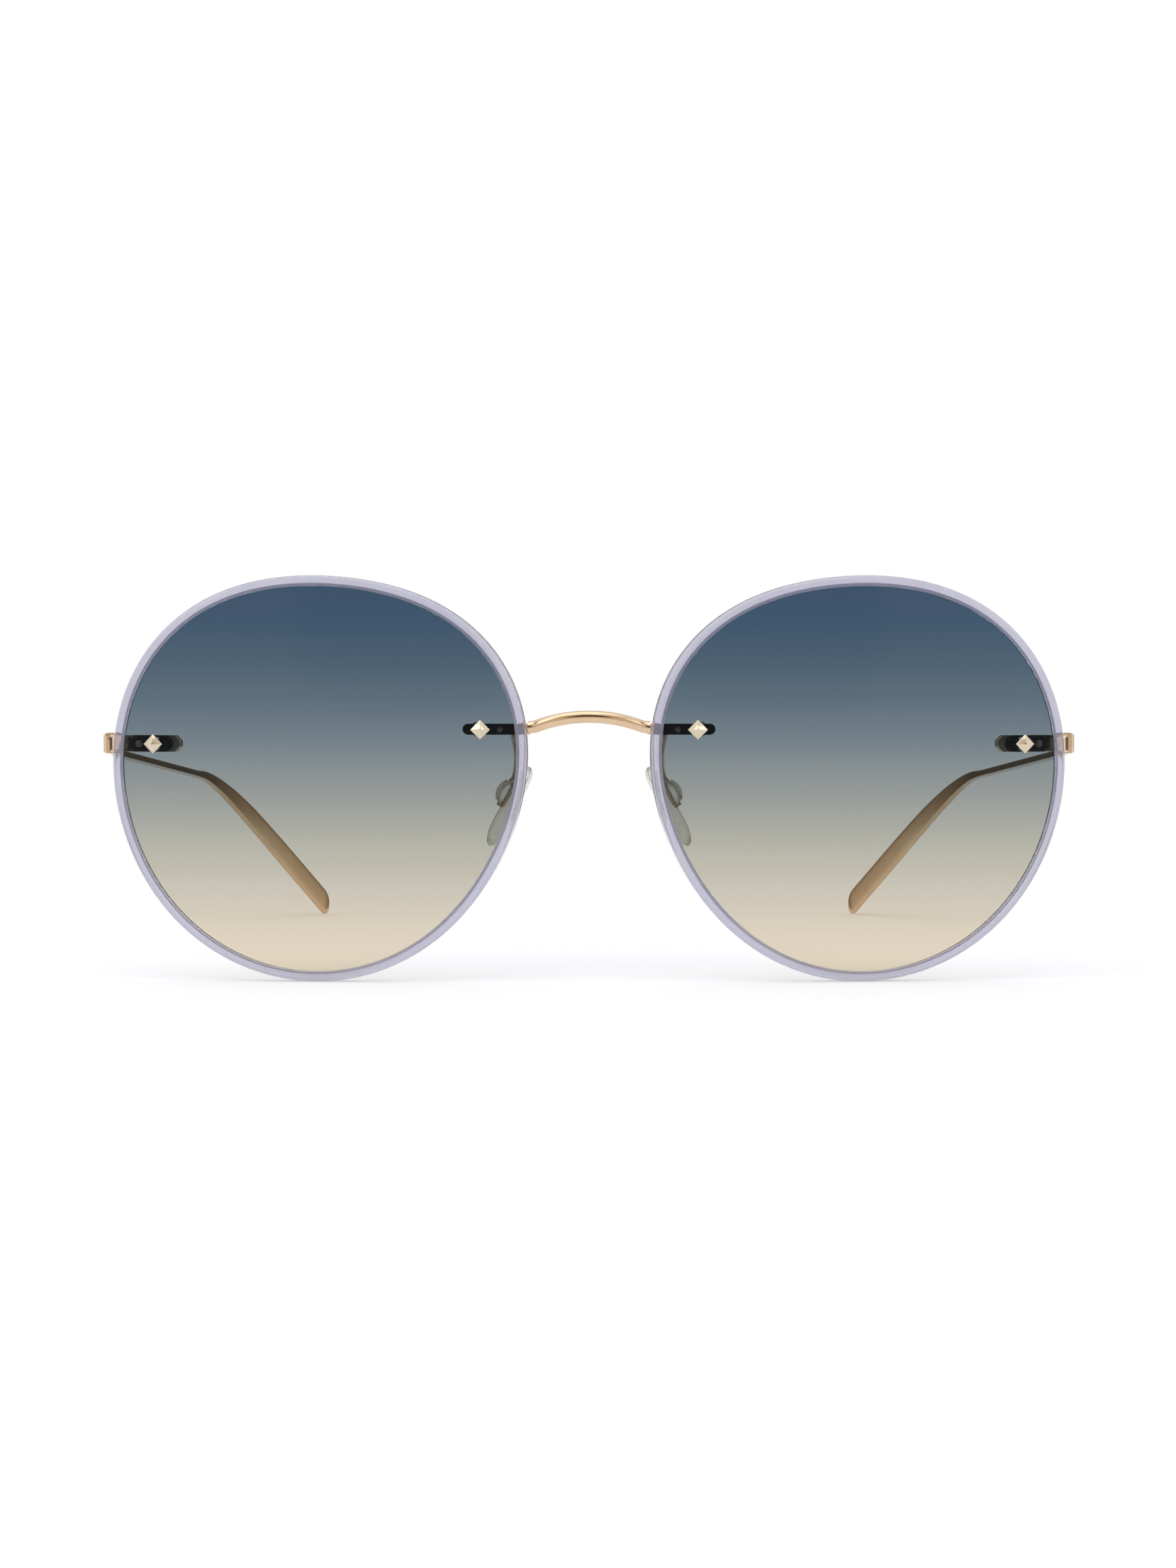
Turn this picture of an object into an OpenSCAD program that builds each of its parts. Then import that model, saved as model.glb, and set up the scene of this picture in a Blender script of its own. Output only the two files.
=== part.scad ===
// Oversized round sunglasses, open and standing on the rims and the temple tips.
// +X is to the right as seen from the front, +Y runs back along the temples, +Z is up.
// The right-hand side is modelled and the left-hand side is its mirror image.

/* [Lenses] */
// Distance across the nose between the mean outlines of the two rims
lens_gap = 18.86; // [17:0.02:20]
// Radius of the lens's front curve
lens_curve_r = 132; // [110:1:180]
// Thickness of the lens
lens_t = 2; // [1.8:0.1:2.4]
// Turn of each lens towards the temple
lens_wrap = 4; // [2:0.5:6]

/* [Rims] */
// Mean radius of the rim's outline
rim_r = 29.7; // [29:0.05:30.2]
// Width of the rim, seen from the front
rim_w = 1.6; // [1.4:0.05:2]
// Rim material in front of the lens and behind it
rim_lip = 0.5; // [0.4:0.05:0.7]
// Depth of the groove that holds the lens
groove_depth = 0.45; // [0.3:0.05:0.6]
// Widening of the outline from side to side
outline_wide = 0.33; // [0:0.01:0.5]
// Flattening of the outline below the brow and fullness at the cheek
outline_cheek = 0.75; // [0.4:0.01:1]
// Squareness of the outline at its diagonals
outline_square = 0.2; // [0:0.01:0.4]

/* [Studs] */
// Distance from the rim's mean outline in to the stud beside the nose
nasal_inset = 6.22; // [5.8:0.02:6.8]
// Height of the stud beside the nose over the lens centre
nasal_up = 6.36; // [5:0.1:8]
// Distance from the rim's mean outline in to the stud beside the temple
temporal_inset = 6.13; // [5.8:0.01:6.5]
// Height of the stud beside the temple over the lens centre
temporal_up = 4.26; // [3:0.1:6]
// Side of the square stud head
stud_side = 2.05; // [1.9:0.05:2.3]
// Height of the stud's upright edge
stud_edge = 0.3; // [0.2:0.05:0.5]
// Height of the stud's pyramid
stud_peak = 0.75; // [0.5:0.05:1]
// Radius of the stud's post
post_r = 0.6; // [0.5:0.02:0.66]
// Wall of the sleeve round the post
bush_wall = 0.36; // [0.25:0.01:0.45]
// Thickness of the clear washer under the stud head
washer_t = 0.22; // [0.2:0.01:0.4]
// Distance across the flats of the lock nut
nut_af = 2; // [1.9:0.05:2.3]
// Thickness of the lock nut
nut_t = 0.9; // [0.7:0.05:1.2]
// Length of the post that stands out of the nut
post_tail = 0.3; // [0.1:0.05:0.5]

/* [Plates] */
// Thickness of the black shim between lens and metal
shim_t = 0.35; // [0.25:0.05:0.5]
// Thickness of the bridge plate
plate_t = 0.8; // [0.6:0.05:1]
// Height of the bridge plate
nasal_plate_h = 1.56; // [1.5:0.02:1.8]
// Distance from the nasal stud to the plate's round end
nasal_plate_end = 2.28; // [2:0.02:2.5]
// Distance from the nasal stud to the plate's inner end
nasal_plate_in = 7.2; // [7.1:0.05:7.3]
// Distance from the nasal stud to the locating pin
nasal_pin_in = 2.85; // [2.6:0.05:3.2]
// Radius of the nasal locating pin
nasal_pin_r = 0.45; // [0.35:0.01:0.5]
// Height of the temporal plate
temporal_plate_h = 2.36; // [2.2:0.02:2.7]
// Distance from the temporal stud to the plate's round end
temporal_plate_end = 2.3; // [2.1:0.05:2.6]
// Distance from the temporal stud to the end of the faceted block
temporal_block_end = 3.3; // [3.1:0.05:3.6]
// Distance from the temporal stud to the plate's outer end
temporal_plate_out = 3.7; // [3.5:0.05:3.8]
// Distance from the temporal stud to the locating pin
temporal_pin_out = 2.25; // [2.1:0.05:2.5]
// Radius of the temporal locating pin
temporal_pin_r = 0.55; // [0.4:0.01:0.6]
// Thickness of the faceted block
block_t = 1.2; // [1:0.05:1.4]

/* [Bridge] */
// Thickness of the round bridge bar
bar_d = 1.76; // [1.5:0.02:2]
// Distance from the bridge plate's inner end to the end of the bar
bar_set = 0.65; // [0.6:0.05:0.7]
// Rise of the arched bar
bar_rise = 1.95; // [1.5:0.05:2.5]
// Forward lean of the arch
bar_lean = 35; // [20:1:50]
// Length of the collar that takes the end of the bar
collar_l = 0.3; // [0.25:0.05:0.35]
// Radius of the collar
collar_r = 0.92; // [0.9:0.01:0.95]
// Radius of the spigot on the end of the bar
spigot_r = 0.5; // [0.4:0.02:0.6]

/* [Nose pads] */
// Distance from the centreline to the middle of the pad
pad_x = 11.6; // [11.4:0.05:12.2]
// Distance from the rim beside the nose back to the middle of the pad
pad_back = 8.2; // [7.8:0.1:9.4]
// Height of the middle of the pad over the lens centre
pad_up = -4.9; // [-6:0.1:-4]
// Lean of the pad, seen from the front
pad_lean = 28; // [22:1:30]
// Splay of the pad, seen from above
pad_splay = 12; // [5:1:20]
// Length of the pad
pad_l = 12.9; // [11.5:0.1:14]
// Width of the pad's broad lower end
pad_w = 7; // [6.6:0.1:8]
// Width of the pad's narrow upper end
pad_top_w = 5; // [4.6:0.1:5.6]
// Thickness of the pad
pad_t = 2; // [1.8:0.1:2.4]
// Length of the serrated blade inside the pad's pocket
blade_l = 4.4; // [4:0.1:5]
// Width of the blade
blade_w = 2.6; // [2.2:0.1:2.8]
// Thickness of the blade
blade_t = 0.6; // [0.5:0.05:0.8]
// Pitch of the teeth on the blade
tooth_pitch = 0.55; // [0.5:0.05:0.8]
// Thickness of the pad arm
arm_d = 1; // [0.8:0.05:1.2]

/* [Hinges] */
// Distance from the rim's mean outline in to the hinge screw
hinge_inset = 0.3; // [0.1:0.05:0.5]
// Distance from the rim beside the temple back to the hinge screw
hinge_back = 4; // [3.9:0.05:4.5]
// Radius of the hinge eye
eye_r = 1; // [0.95:0.01:1.1]
// Height of the hinge eye
eye_h = 1.6; // [1.4:0.05:2]
// Thickness of each ear over and under the eye
ear_t = 0.6; // [0.55:0.05:0.8]
// Radius of the hinge screw
screw_r = 0.5; // [0.4:0.01:0.55]
// Radius of the hinge screw's head
screw_head_r = 0.75; // [0.7:0.01:0.85]
// Thickness of the hinge screw's head
screw_head_t = 0.3; // [0.2:0.02:0.4]
// Slot between the eye and the temple's outer wall
slot_w = 0.25; // [0.2:0.01:0.35]
// Thickness of the temple's outer wall
wall_t = 0.9; // [0.8:0.05:1.1]
// Length of the outer wall behind the hinge screw
wall_back = 7.5; // [6:0.1:10]
// Drop of the outer wall to the temple behind it
wall_drop = 1.5; // [1:0.05:1.6]
// Radius of the rivet's domed head
rivet_r = 0.5; // [0.4:0.02:0.6]
// Height of the rivet's domed head
rivet_h = 0.3; // [0.2:0.02:0.4]
// Distance from the hinge screw back to the rivet
rivet_back = 3.2; // [2.5:0.1:4]

/* [Temples] */
// Straight length of the temple behind its hinge wall
temple_straight = 75.5; // [70:0.1:90]
// Inward taper of the open temple
temple_in = 3.45; // [2:0.05:5]
// Downward slope of the temple
temple_down = 4.45; // [3.9:0.05:4.45]
// Radius of the bend behind the ear
bend_r = 49; // [40:0.5:60]
// Angle of the bend
bend_angle = 40; // [34:0.5:40]
// Inward roll of the bend
bend_roll = 34.5; // [25:0.5:40]
// Length of the tip behind the bend
tip_l = 23.6; // [20:0.1:25]
// Height of the temple ahead of the bend
temple_h = 1.2; // [1.1:0.05:1.6]
// Height of the flattened tip
tip_h = 5; // [4:0.1:5.4]
// Thickness of the temple
temple_t = 0.9; // [0.8:0.05:1.1]

/* [Fits] */
// Clearance round pins, posts and sleeves
fit_gap = 0.02; // [0.01:0.005:0.03]
// Radial clearance between the hinge screw and the eye
hinge_gap = 0.04; // [0.02:0.005:0.08]
// Clearance between flat faces that slide on each other
slide_gap = 0.05; // [0.03:0.01:0.08]
// Clearance between pieces that seat on each other
seat_gap = 0.02; // [0.01:0.005:0.03]

/* [Hidden] */

// Number of sides of the rim's outline, of a curved lens face and of a small round part
outline_n = 96;
curve_fn = 180;
round_fn = 48;
hull_fn = 32;
// A cutting tool runs past the face that it cuts by this much
over = 0.1;
// A cutting tool that has to run right through a rim or lens is this long
through = 40;

// Outline of the rim: its radius at each angle, from the nose side (0) over the brow (90)
outline_tilt = 0.15;
outline_nose = 0.14;
outline_twist = 0.11;
function outline_r(a) = rim_r + outline_wide * cos(2 * a) + outline_tilt * sin(2 * a)
    + outline_nose * cos(3 * a) + outline_cheek * sin(3 * a)
    - outline_square * cos(4 * a) + outline_twist * sin(4 * a);

// Heights and places that follow from the sizes above
lens_x = rim_r + lens_gap / 2;
nasal_out = rim_r - nasal_inset;
temporal_out = rim_r - temporal_inset;
lens_z = outline_r(270);
groove_gap = 0.05;
hinge_z = lens_z + temporal_up;
post_hole_r = post_r + fit_gap;
sleeve_r = post_r + fit_gap + bush_wall;
shim_set_back = 0.5;
nasal_shim_in = nasal_plate_in - shim_set_back;
// A flat plate stands off the hollow back of the lens by the sag over its own length
function seat(reach, h, up) = lens_t + seat_gap + sag(norm([reach, up + h / 2])) - sag(up);
nasal_back = seat(nasal_shim_in, nasal_plate_h, nasal_up);
temporal_back = seat(temporal_plate_out, temporal_plate_h, temporal_up);
washer_gap = seat_gap + stud_side / 2 * max(nasal_up, temporal_up) / lens_curve_r;
function sag(d) = lens_curve_r - lens_t - sqrt(pow(lens_curve_r - lens_t, 2) - d * d);

// Turn of a fitting about the vertical, and its place on the lens's front, seen from above
function turn(out) = lens_wrap + asin(out / lens_curve_r);
function curve_at(up) = sqrt(lens_curve_r * lens_curve_r - up * up);
function spot(out, up) = [
    lens_x + curve_at(up) * sin(turn(out)) - lens_curve_r * sin(lens_wrap),
    lens_curve_r * cos(lens_wrap) - curve_at(up) * cos(turn(out))];
// A point that lies a distance along a fitting and a distance behind the lens's front
function along(out, up, s, n) = spot(out, up)
    + [s * cos(turn(out)) - n * sin(turn(out)), s * sin(turn(out)) + n * cos(turn(out))];

hinge_x = spot(rim_r, temporal_up)[0] - hinge_inset;
hinge_y = spot(rim_r, temporal_up)[1] + hinge_back;
pad_y = spot(-rim_r, pad_up)[1] + pad_back;
nasal_plate_mid = nasal_back + shim_t + plate_t / 2;
bar_seat = along(-nasal_out, nasal_up, -nasal_plate_in, nasal_plate_mid);
bar_y = bar_seat[1];
bar_end_x = bar_seat[0] - bar_set;
bar_lift = 0.2;
bar_z = lens_z + nasal_up + bar_lift;
bar_arc_r = (bar_end_x * bar_end_x + bar_rise * bar_rise) / (2 * bar_rise);
bar_half = asin(bar_end_x / bar_arc_r);
spigot_l = collar_l + plate_t / 2;

// The blade lies flat on the lens side of the pad, over its middle
blade_x = pad_t / 2 + blade_t / 2;
blade_up = 1.5;
blade_top = blade_up + blade_l / 2;
pocket_wall = 0.9;
pocket_short = 1;
pocket_h = blade_l - pocket_short;
arm_room = 0.15;
tooth_n = floor(blade_l / tooth_pitch) - 1;
tooth_d = 0.3;

wall_in = hinge_x + eye_r + slot_w;
wall_mid = wall_in + wall_t / 2;
block_h = eye_h + 2 * slide_gap + 2 * ear_t;
wall_front = eye_r + slide_gap;

// Path of the temple's centre line: straight, then an arc, then straight again
function unit(v) = v / norm(v);
temple_start = [wall_mid, hinge_y + wall_back + seat_gap, hinge_z - wall_drop];
temple_dir = [-sin(temple_in) * cos(temple_down), cos(temple_in) * cos(temple_down),
    -sin(temple_down)];
temple_side = unit(cross([0, 0, 1], temple_dir));
temple_under = -unit(cross(temple_dir, temple_side));
bend_dir = cos(bend_roll) * temple_under + sin(bend_roll) * temple_side;
bend_l = bend_r * bend_angle * PI / 180;
temple_l = temple_straight + bend_l + tip_l;
bend_start = temple_start + temple_straight * temple_dir;
bend_end = arc_point(bend_angle);
tip_dir = cos(bend_angle) * temple_dir + sin(bend_angle) * bend_dir;
function arc_point(a) = bend_start + bend_r * (sin(a) * temple_dir + (1 - cos(a)) * bend_dir);
function arc_angle(s) = (s - temple_straight) / bend_r * 180 / PI;
function path_at(s) = s <= temple_straight ? temple_start + s * temple_dir
    : s <= temple_straight + bend_l ? arc_point(arc_angle(s))
    : bend_end + (s - temple_straight - bend_l) * tip_dir;
function heading(s) = s <= 0 ? [0, 1, 0] : s <= temple_straight ? temple_dir
    : s <= temple_straight + bend_l
    ? cos(arc_angle(s)) * temple_dir + sin(arc_angle(s)) * bend_dir : tip_dir;

// The temple widens from its straight part to the flattened tip and ends in a half round
widen_lead = 8;
widen_from = temple_straight - widen_lead;
widen_to = temple_straight + bend_l + widen_lead;
function ease(t) = t * t * (3 - 2 * t);
function share(s) = ease(min(1, max(0, (s - widen_from) / (widen_to - widen_from))));
function full_h(s) = temple_h + (tip_h - temple_h) * share(s);
function end_round(s) = let (k = max(0, 1 - (temple_l - s) / (tip_h / 2))) sqrt(1 - k * k);
temple_steps = 14;
bend_steps = 12;
end_steps = 6;
// The rounded tip stops this many degrees along its quarter turn, so that it ends in a face
end_stop = 86;
tip_round = tip_h / 2;
temple_stations = concat(
    [for (i = [0 : temple_steps - 1]) widen_from * i / temple_steps],
    [for (i = [0 : bend_steps - 1]) widen_from + (widen_to - widen_from) * i / bend_steps],
    [widen_to],
    [for (i = [0 : end_steps]) temple_l - tip_round * (1 - sin(end_stop * i / end_steps))]);

// The glasses are centred front to back on the origin
stud_out = stud_edge + stud_peak + washer_t;
front_reach = stud_out - spot(-nasal_out, nasal_up)[1];
rear_reach = path_at(temple_l)[1];
centre_y = (rear_reach - front_reach) / 2;

gold = "#D9B98A";
pale_gold = "#E3D3AE";
black = "#2A2522";
lavender = "#CFCFE0";
lens_colour = "#7D8B92";
clear = "#E4E6E6";

// Moves a piece to the shared origin, and mirrors it for the left-hand side
module right() translate([0, -centre_y, 0]) children();
module left() mirror([1, 0, 0]) right() children();

// Takes a piece from the lens's own frame to the face
module on_lens() translate([lens_x, 0, lens_z]) rotate([0, 0, lens_wrap]) children();

// Takes a fitting from its own frame to its spot on the lens; +Y points back through the lens
module fitting(out, up)
    translate([spot(out, up)[0], spot(out, up)[1], lens_z + up])
        rotate([0, 0, turn(out)]) children();

module nasal_fitting() fitting(-nasal_out, nasal_up) children();
module temporal_fitting() fitting(temporal_out, temporal_up) children();

// A solid of the rim's outline, drawn in by a distance
module outline_block(inset)
    rotate([90, 0, 0]) linear_extrude(height = through, center = true)
        polygon([for (i = [0 : outline_n - 1])
            let (a = 360 * i / outline_n, r = outline_r(a) - inset) [-r * cos(a), r * sin(a)]]);

// The space between two curved faces, at depths behind the lens's front
module curved_shell(front, back)
    translate([0, lens_curve_r, 0]) difference() {
        sphere(r = lens_curve_r - front, $fn = curve_fn);
        sphere(r = lens_curve_r - back, $fn = curve_fn);
    }

// A pin that runs back along a fitting, from one depth to another
module pin(r, from, to, fn = round_fn)
    translate([0, to, 0]) rotate([90, 0, 0]) cylinder(r = r, h = to - from, $fn = fn);

// A bar seen from the front, with a round end, from one depth to another
module round_end_bar(end_s, far_s, h, from, to) {
    way = sign(far_s - end_s);
    mid = end_s + way * h / 2;
    translate([mid, 0, 0]) pin(h / 2, from, to);
    translate([min(mid, far_s), from, -h / 2]) cube([abs(far_s - mid), to - from, h]);
}

// Holes for a post, or its sleeve, and for the locating pin beside it
module fitting_holes(r, pin_s, pin_hole_r) {
    pin(r, -through / 2, through / 2);
    translate([pin_s, 0, 0]) pin(pin_hole_r, -through / 2, through / 2);
}

module rim() color(lavender, 0.8) difference() {
    on_lens() difference() {
        intersection() {
            outline_block(0);
            curved_shell(-rim_lip, lens_t + rim_lip);
        }
        outline_block(rim_w);
        intersection() {
            outline_block(rim_w - groove_depth - groove_gap);
            curved_shell(-groove_gap, lens_t + groove_gap);
        }
    }
    // Notches in the back for the bridge plate's collar and for the hinge arm
    nasal_fitting() notch(-through / 2, 2 * (collar_r + bar_lift), nasal_back);
    temporal_fitting() notch(0, temporal_plate_h, temporal_back);
}

module notch(start, h, depth)
    translate([start, depth - slide_gap, -h / 2 - slide_gap])
        cube([through / 2, through / 2, h + 2 * slide_gap]);

module lens() color(lens_colour, 0.6) difference() {
    on_lens() intersection() {
        outline_block(rim_w - groove_depth);
        curved_shell(0, lens_t);
    }
    nasal_fitting()
        fitting_holes(sleeve_r + fit_gap, -nasal_pin_in, nasal_pin_r + fit_gap);
    temporal_fitting()
        fitting_holes(sleeve_r + fit_gap, temporal_pin_out, temporal_pin_r + fit_gap);
}

// Square pyramid head, standing on its corner, on a round post
module stud(tail) color(pale_gold) {
    translate([0, -washer_t, 0]) rotate([90, 45, 0]) {
        translate([-stud_side / 2, -stud_side / 2, 0]) cube([stud_side, stud_side, stud_edge]);
        translate([0, 0, stud_edge]) pyramid(stud_side / 2, stud_peak);
    }
    pin(post_r, -washer_t - stud_edge / 2, tail);
}

module pyramid(half, h) polyhedron(
    points = [[-half, -half, 0], [half, -half, 0], [half, half, 0], [-half, half, 0], [0, 0, h]],
    faces = [[0, 1, 2, 3], [4, 1, 0], [4, 2, 1], [4, 3, 2], [4, 0, 3]]);

module washer() color(clear) difference() {
    pin(stud_side / 2, -washer_t, -washer_gap);
    pin(post_hole_r, -through / 2, through / 2);
}

module sleeve(back) color(clear) difference() {
    pin(sleeve_r, 0, back - slide_gap);
    pin(post_hole_r, -through / 2, through / 2);
}

module nut(seat) color(gold) difference() {
    pin(nut_af / 2 / cos(30), seat, seat + nut_t, 6);
    pin(post_hole_r, -through / 2, through / 2);
}

module nasal_shim() color(black) nasal_fitting() difference() {
    round_end_bar(nasal_plate_end, -nasal_shim_in, nasal_plate_h,
        nasal_back, nasal_back + shim_t);
    fitting_holes(post_hole_r, -nasal_pin_in, nasal_pin_r + fit_gap);
}

module temporal_shim() color(black) temporal_fitting() difference() {
    round_end_bar(-temporal_plate_end, temporal_plate_out, temporal_plate_h,
        temporal_back, temporal_back + shim_t);
    fitting_holes(post_hole_r, temporal_pin_out, temporal_pin_r + fit_gap);
}

// Takes a piece to the right-hand end of the arched bar; +X points out along the bar
module at_bar_end()
    translate([0, bar_y, bar_z]) rotate([bar_lean, 0, 0]) translate([bar_end_x, 0, 0])
        rotate([0, bar_half, 0]) children();

module bridge_bar() color(gold) {
    translate([0, bar_y, bar_z]) rotate([bar_lean, 0, 0]) rotate([90, 0, 0])
        translate([0, bar_rise - bar_arc_r, 0]) rotate([0, 0, 90 - bar_half])
            rotate_extrude(angle = 2 * bar_half, $fn = curve_fn)
                translate([bar_arc_r, 0]) circle(d = bar_d, $fn = round_fn);
    spigot();
    mirror([1, 0, 0]) spigot();
}

module spigot() at_bar_end() translate([-spigot_r, 0, 0]) rotate([0, 90, 0])
    cylinder(r = spigot_r, h = spigot_r + spigot_l, $fn = round_fn);

module bridge_plate() color(gold) difference() {
    union() {
        nasal_fitting() round_end_bar(nasal_plate_end, -nasal_plate_in,
            nasal_plate_h, nasal_back + shim_t, nasal_back + shim_t + plate_t);
        at_bar_end() rotate([0, 90, 0]) cylinder(r = collar_r, h = collar_l, $fn = round_fn);
    }
    at_bar_end() translate([-over, 0, 0]) rotate([0, 90, 0])
        cylinder(r = spigot_r + fit_gap, h = over + spigot_l + seat_gap, $fn = round_fn);
    nasal_fitting()
        fitting_holes(post_hole_r, -nasal_pin_in, nasal_pin_r + fit_gap);
}

// Takes a piece to the nose pad; +X points to the lens, +Z up along the pad
module on_pad()
    translate([pad_x, pad_y, lens_z + pad_up]) rotate([0, -pad_lean, 0])
        rotate([0, 0, -pad_splay]) children();

// A point of the pad's frame, seen from the face
function pad_point(p) = [pad_x, pad_y, lens_z + pad_up] + turn_y(turn_z(p, -pad_splay), -pad_lean);
function turn_z(p, a) = [p[0] * cos(a) - p[1] * sin(a), p[0] * sin(a) + p[1] * cos(a), p[2]];
function turn_y(p, a) = [p[0] * cos(a) + p[2] * sin(a), p[1], -p[0] * sin(a) + p[2] * cos(a)];

// Clear soft pad: a drop-shaped cushion with a rounded pocket on its lens side
module nose_pad() color(clear) on_pad() difference() {
    union() {
        hull() {
            pad_end(pad_w, -1);
            pad_end(pad_top_w, 1);
        }
        intersection() {
            translate([0, -blade_w / 2 - pocket_wall, blade_up - pocket_h / 2])
                cube([blade_x + blade_t / 2 + pocket_wall, blade_w + 2 * pocket_wall, pocket_h]);
            translate([0, 0, blade_up]) rotate([90, 0, 0])
                cylinder(r = blade_x + blade_t / 2 + pocket_wall, h = pad_w, center = true,
                    $fn = round_fn);
        }
    }
    translate([blade_x - blade_t / 2 - fit_gap, -blade_w / 2 - fit_gap, blade_up - blade_l / 2])
        cube([blade_t + 2 * fit_gap, blade_w + 2 * fit_gap, blade_l + pad_l]);
    translate([blade_x, 0, blade_top]) cylinder(r = arm_d / 2 + arm_room, h = pad_l, $fn = hull_fn);
}

// One rounded end of the pad: a flattened ball
module pad_end(w, way)
    translate([0, 0, way * (pad_l - w) / 2]) scale([pad_t / w, 1, 1]) sphere(d = w, $fn = hull_fn);

// Serrated metal blade that the pad's pocket slides over
module pad_blade() color(gold) on_pad() translate([blade_x, 0, blade_up]) difference() {
    translate([-blade_t / 2, -blade_w / 2, -blade_l / 2 + slide_gap])
        cube([blade_t, blade_w, blade_l - slide_gap]);
    for (i = [1 : tooth_n], way = [-1, 1])
        translate([0, way * blade_w / 2, -blade_l / 2 + i * tooth_pitch]) rotate([0, 90, 0])
            cylinder(d = tooth_d, h = blade_t + over, center = true, $fn = 4);
}

// Path of the pad arm: from the back of the bridge plate, in towards the nose, down and back
arm_root = 2.3;
arm_top = concat(along(-nasal_out, nasal_up, arm_root - nasal_plate_in,
    nasal_back + shim_t + plate_t + seat_gap), lens_z + nasal_up);
arm_foot = pad_point([blade_x, 0, blade_top + slide_gap]);
arm_back = [0.3, 3, 0];
arm_drop_in = [0.3, 0, 3.5];
arm_fall = pad_point([blade_x, 0, blade_top] + arm_drop_in);
arm_side_hint = [0.4, 0, 1];
arm_steps = 18;
arm_sides = 12;
function arm_at(t) = pow(1 - t, 3) * arm_top + 3 * t * pow(1 - t, 2) * (arm_top + arm_back)
    + 3 * t * t * (1 - t) * arm_fall + t * t * t * arm_foot;
function arm_heading(t) = unit(3 * pow(1 - t, 2) * arm_back
    + 6 * t * (1 - t) * (arm_fall - arm_top - arm_back) + 3 * t * t * (arm_foot - arm_fall));

// A solid swept through rings of points; each ring has the same number of points
module skin(rings) {
    n = len(rings[0]);
    last = len(rings) - 1;
    polyhedron(
        points = [for (ring = rings) each ring],
        faces = concat(
            [[for (j = [n - 1 : -1 : 0]) j]],
            [for (i = [0 : last - 1], j = [0 : n - 1]) let (k = (j + 1) % n)
                each [[i * n + j, i * n + k, (i + 1) * n + k],
                    [i * n + j, (i + 1) * n + k, (i + 1) * n + j]]],
            [[for (j = [0 : n - 1]) last * n + j]]));
}

// A ring of points round a path; side and up lie across the path, w and h are full sizes
function ring(at, along_dir, side_hint, w, h, n, soft) =
    let (up = unit(cross(side_hint, along_dir)), side = cross(along_dir, up))
    [for (j = [0 : n - 1]) let (a = 360 * j / n)
        at + side * w / 2 * squash(cos(a), soft) + up * h / 2 * squash(sin(a), soft)];
function squash(v, soft) = sign(v) * pow(abs(v), soft);

module pad_arm() color(gold) skin([for (i = [0 : arm_steps]) let (t = i / arm_steps)
    ring(arm_at(t), arm_heading(t), arm_side_hint, arm_d, arm_d, arm_sides, 1)]);

// Faceted block behind the lens, with an arm that runs behind the rim to the hinge eye
module endpiece() color(gold) difference() {
    union() {
        temporal_fitting() block();
        translate([0, 0, hinge_z - eye_h / 2]) linear_extrude(height = eye_h)
            polygon([arm_plan(block_in, arm_step), arm_plan(arm_reach, arm_step),
                [hinge_x + arm_end, hinge_y], [hinge_x, hinge_y],
                arm_plan(block_in, block_t - arm_step)]);
        translate([hinge_x, hinge_y, hinge_z - eye_h / 2])
            cylinder(r = eye_r, h = eye_h, $fn = round_fn);
    }
    translate([hinge_x, hinge_y, hinge_z])
        cylinder(r = screw_r + hinge_gap, h = through, center = true, $fn = round_fn);
    temporal_fitting()
        fitting_holes(post_hole_r, temporal_pin_out, temporal_pin_r + fit_gap);
}

arm_lap = 0.8;
block_in = temporal_plate_out - arm_lap;
arm_reach = temporal_inset + 1.3;
arm_step = 0.15;
arm_end = eye_r * 0.8;
block_chamfer = temporal_plate_h / 3;
block_front = temporal_back + shim_t;
function arm_plan(s, n) = along(temporal_out, temporal_up, s, block_front + n);

// Block with a bevelled inner end, seen from the front
module block() translate([0, block_front, 0]) {
    h = temporal_plate_h / 2;
    rotate([-90, 0, 0]) linear_extrude(height = block_t)
        polygon([[temporal_plate_out, -h], [temporal_plate_out, h],
            [block_chamfer - temporal_block_end, h],
            [-temporal_block_end, h - block_chamfer], [-temporal_block_end, block_chamfer - h],
            [block_chamfer - temporal_block_end, -h]]);
}

// Front end of the temple: two ears round the eye, joined by an outer wall that tapers back
module temple_hinge() color(gold) difference() {
    union() {
        for (z = [hinge_z - block_h / 2, hinge_z + block_h / 2 - ear_t]) translate([0, 0, z]) {
            translate([hinge_x, hinge_y, 0]) cylinder(r = eye_r, h = ear_t, $fn = round_fn);
            translate([hinge_x, hinge_y - eye_r, 0]) cube([wall_mid - hinge_x, 2 * eye_r, ear_t]);
        }
        translate([wall_in, hinge_y, hinge_z]) rotate([90, 0, 90]) linear_extrude(height = wall_t)
            polygon([[-wall_front, -block_h / 2], [wall_taper, -block_h / 2],
                [wall_back, -wall_drop - temple_h / 2], [wall_back, temple_h / 2 - wall_drop],
                [wall_taper, block_h / 2], [-wall_front, block_h / 2]]);
    }
    translate([hinge_x, hinge_y, hinge_z]) {
        cylinder(r = screw_r + fit_gap, h = through, center = true, $fn = round_fn);
        translate([0, 0, block_h / 2 - screw_head_t])
            cylinder(r = screw_head_r + fit_gap, h = through, $fn = round_fn);
    }
    translate([wall_in - over, hinge_y + rivet_back, hinge_z]) rotate([0, 90, 0])
        cylinder(r = rivet_shank_r + fit_gap, h = through, $fn = round_fn);
}

wall_taper = wall_back / 3;
screw_tail = 0.3;
rivet_shank_r = rivet_r * 0.6;

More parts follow.
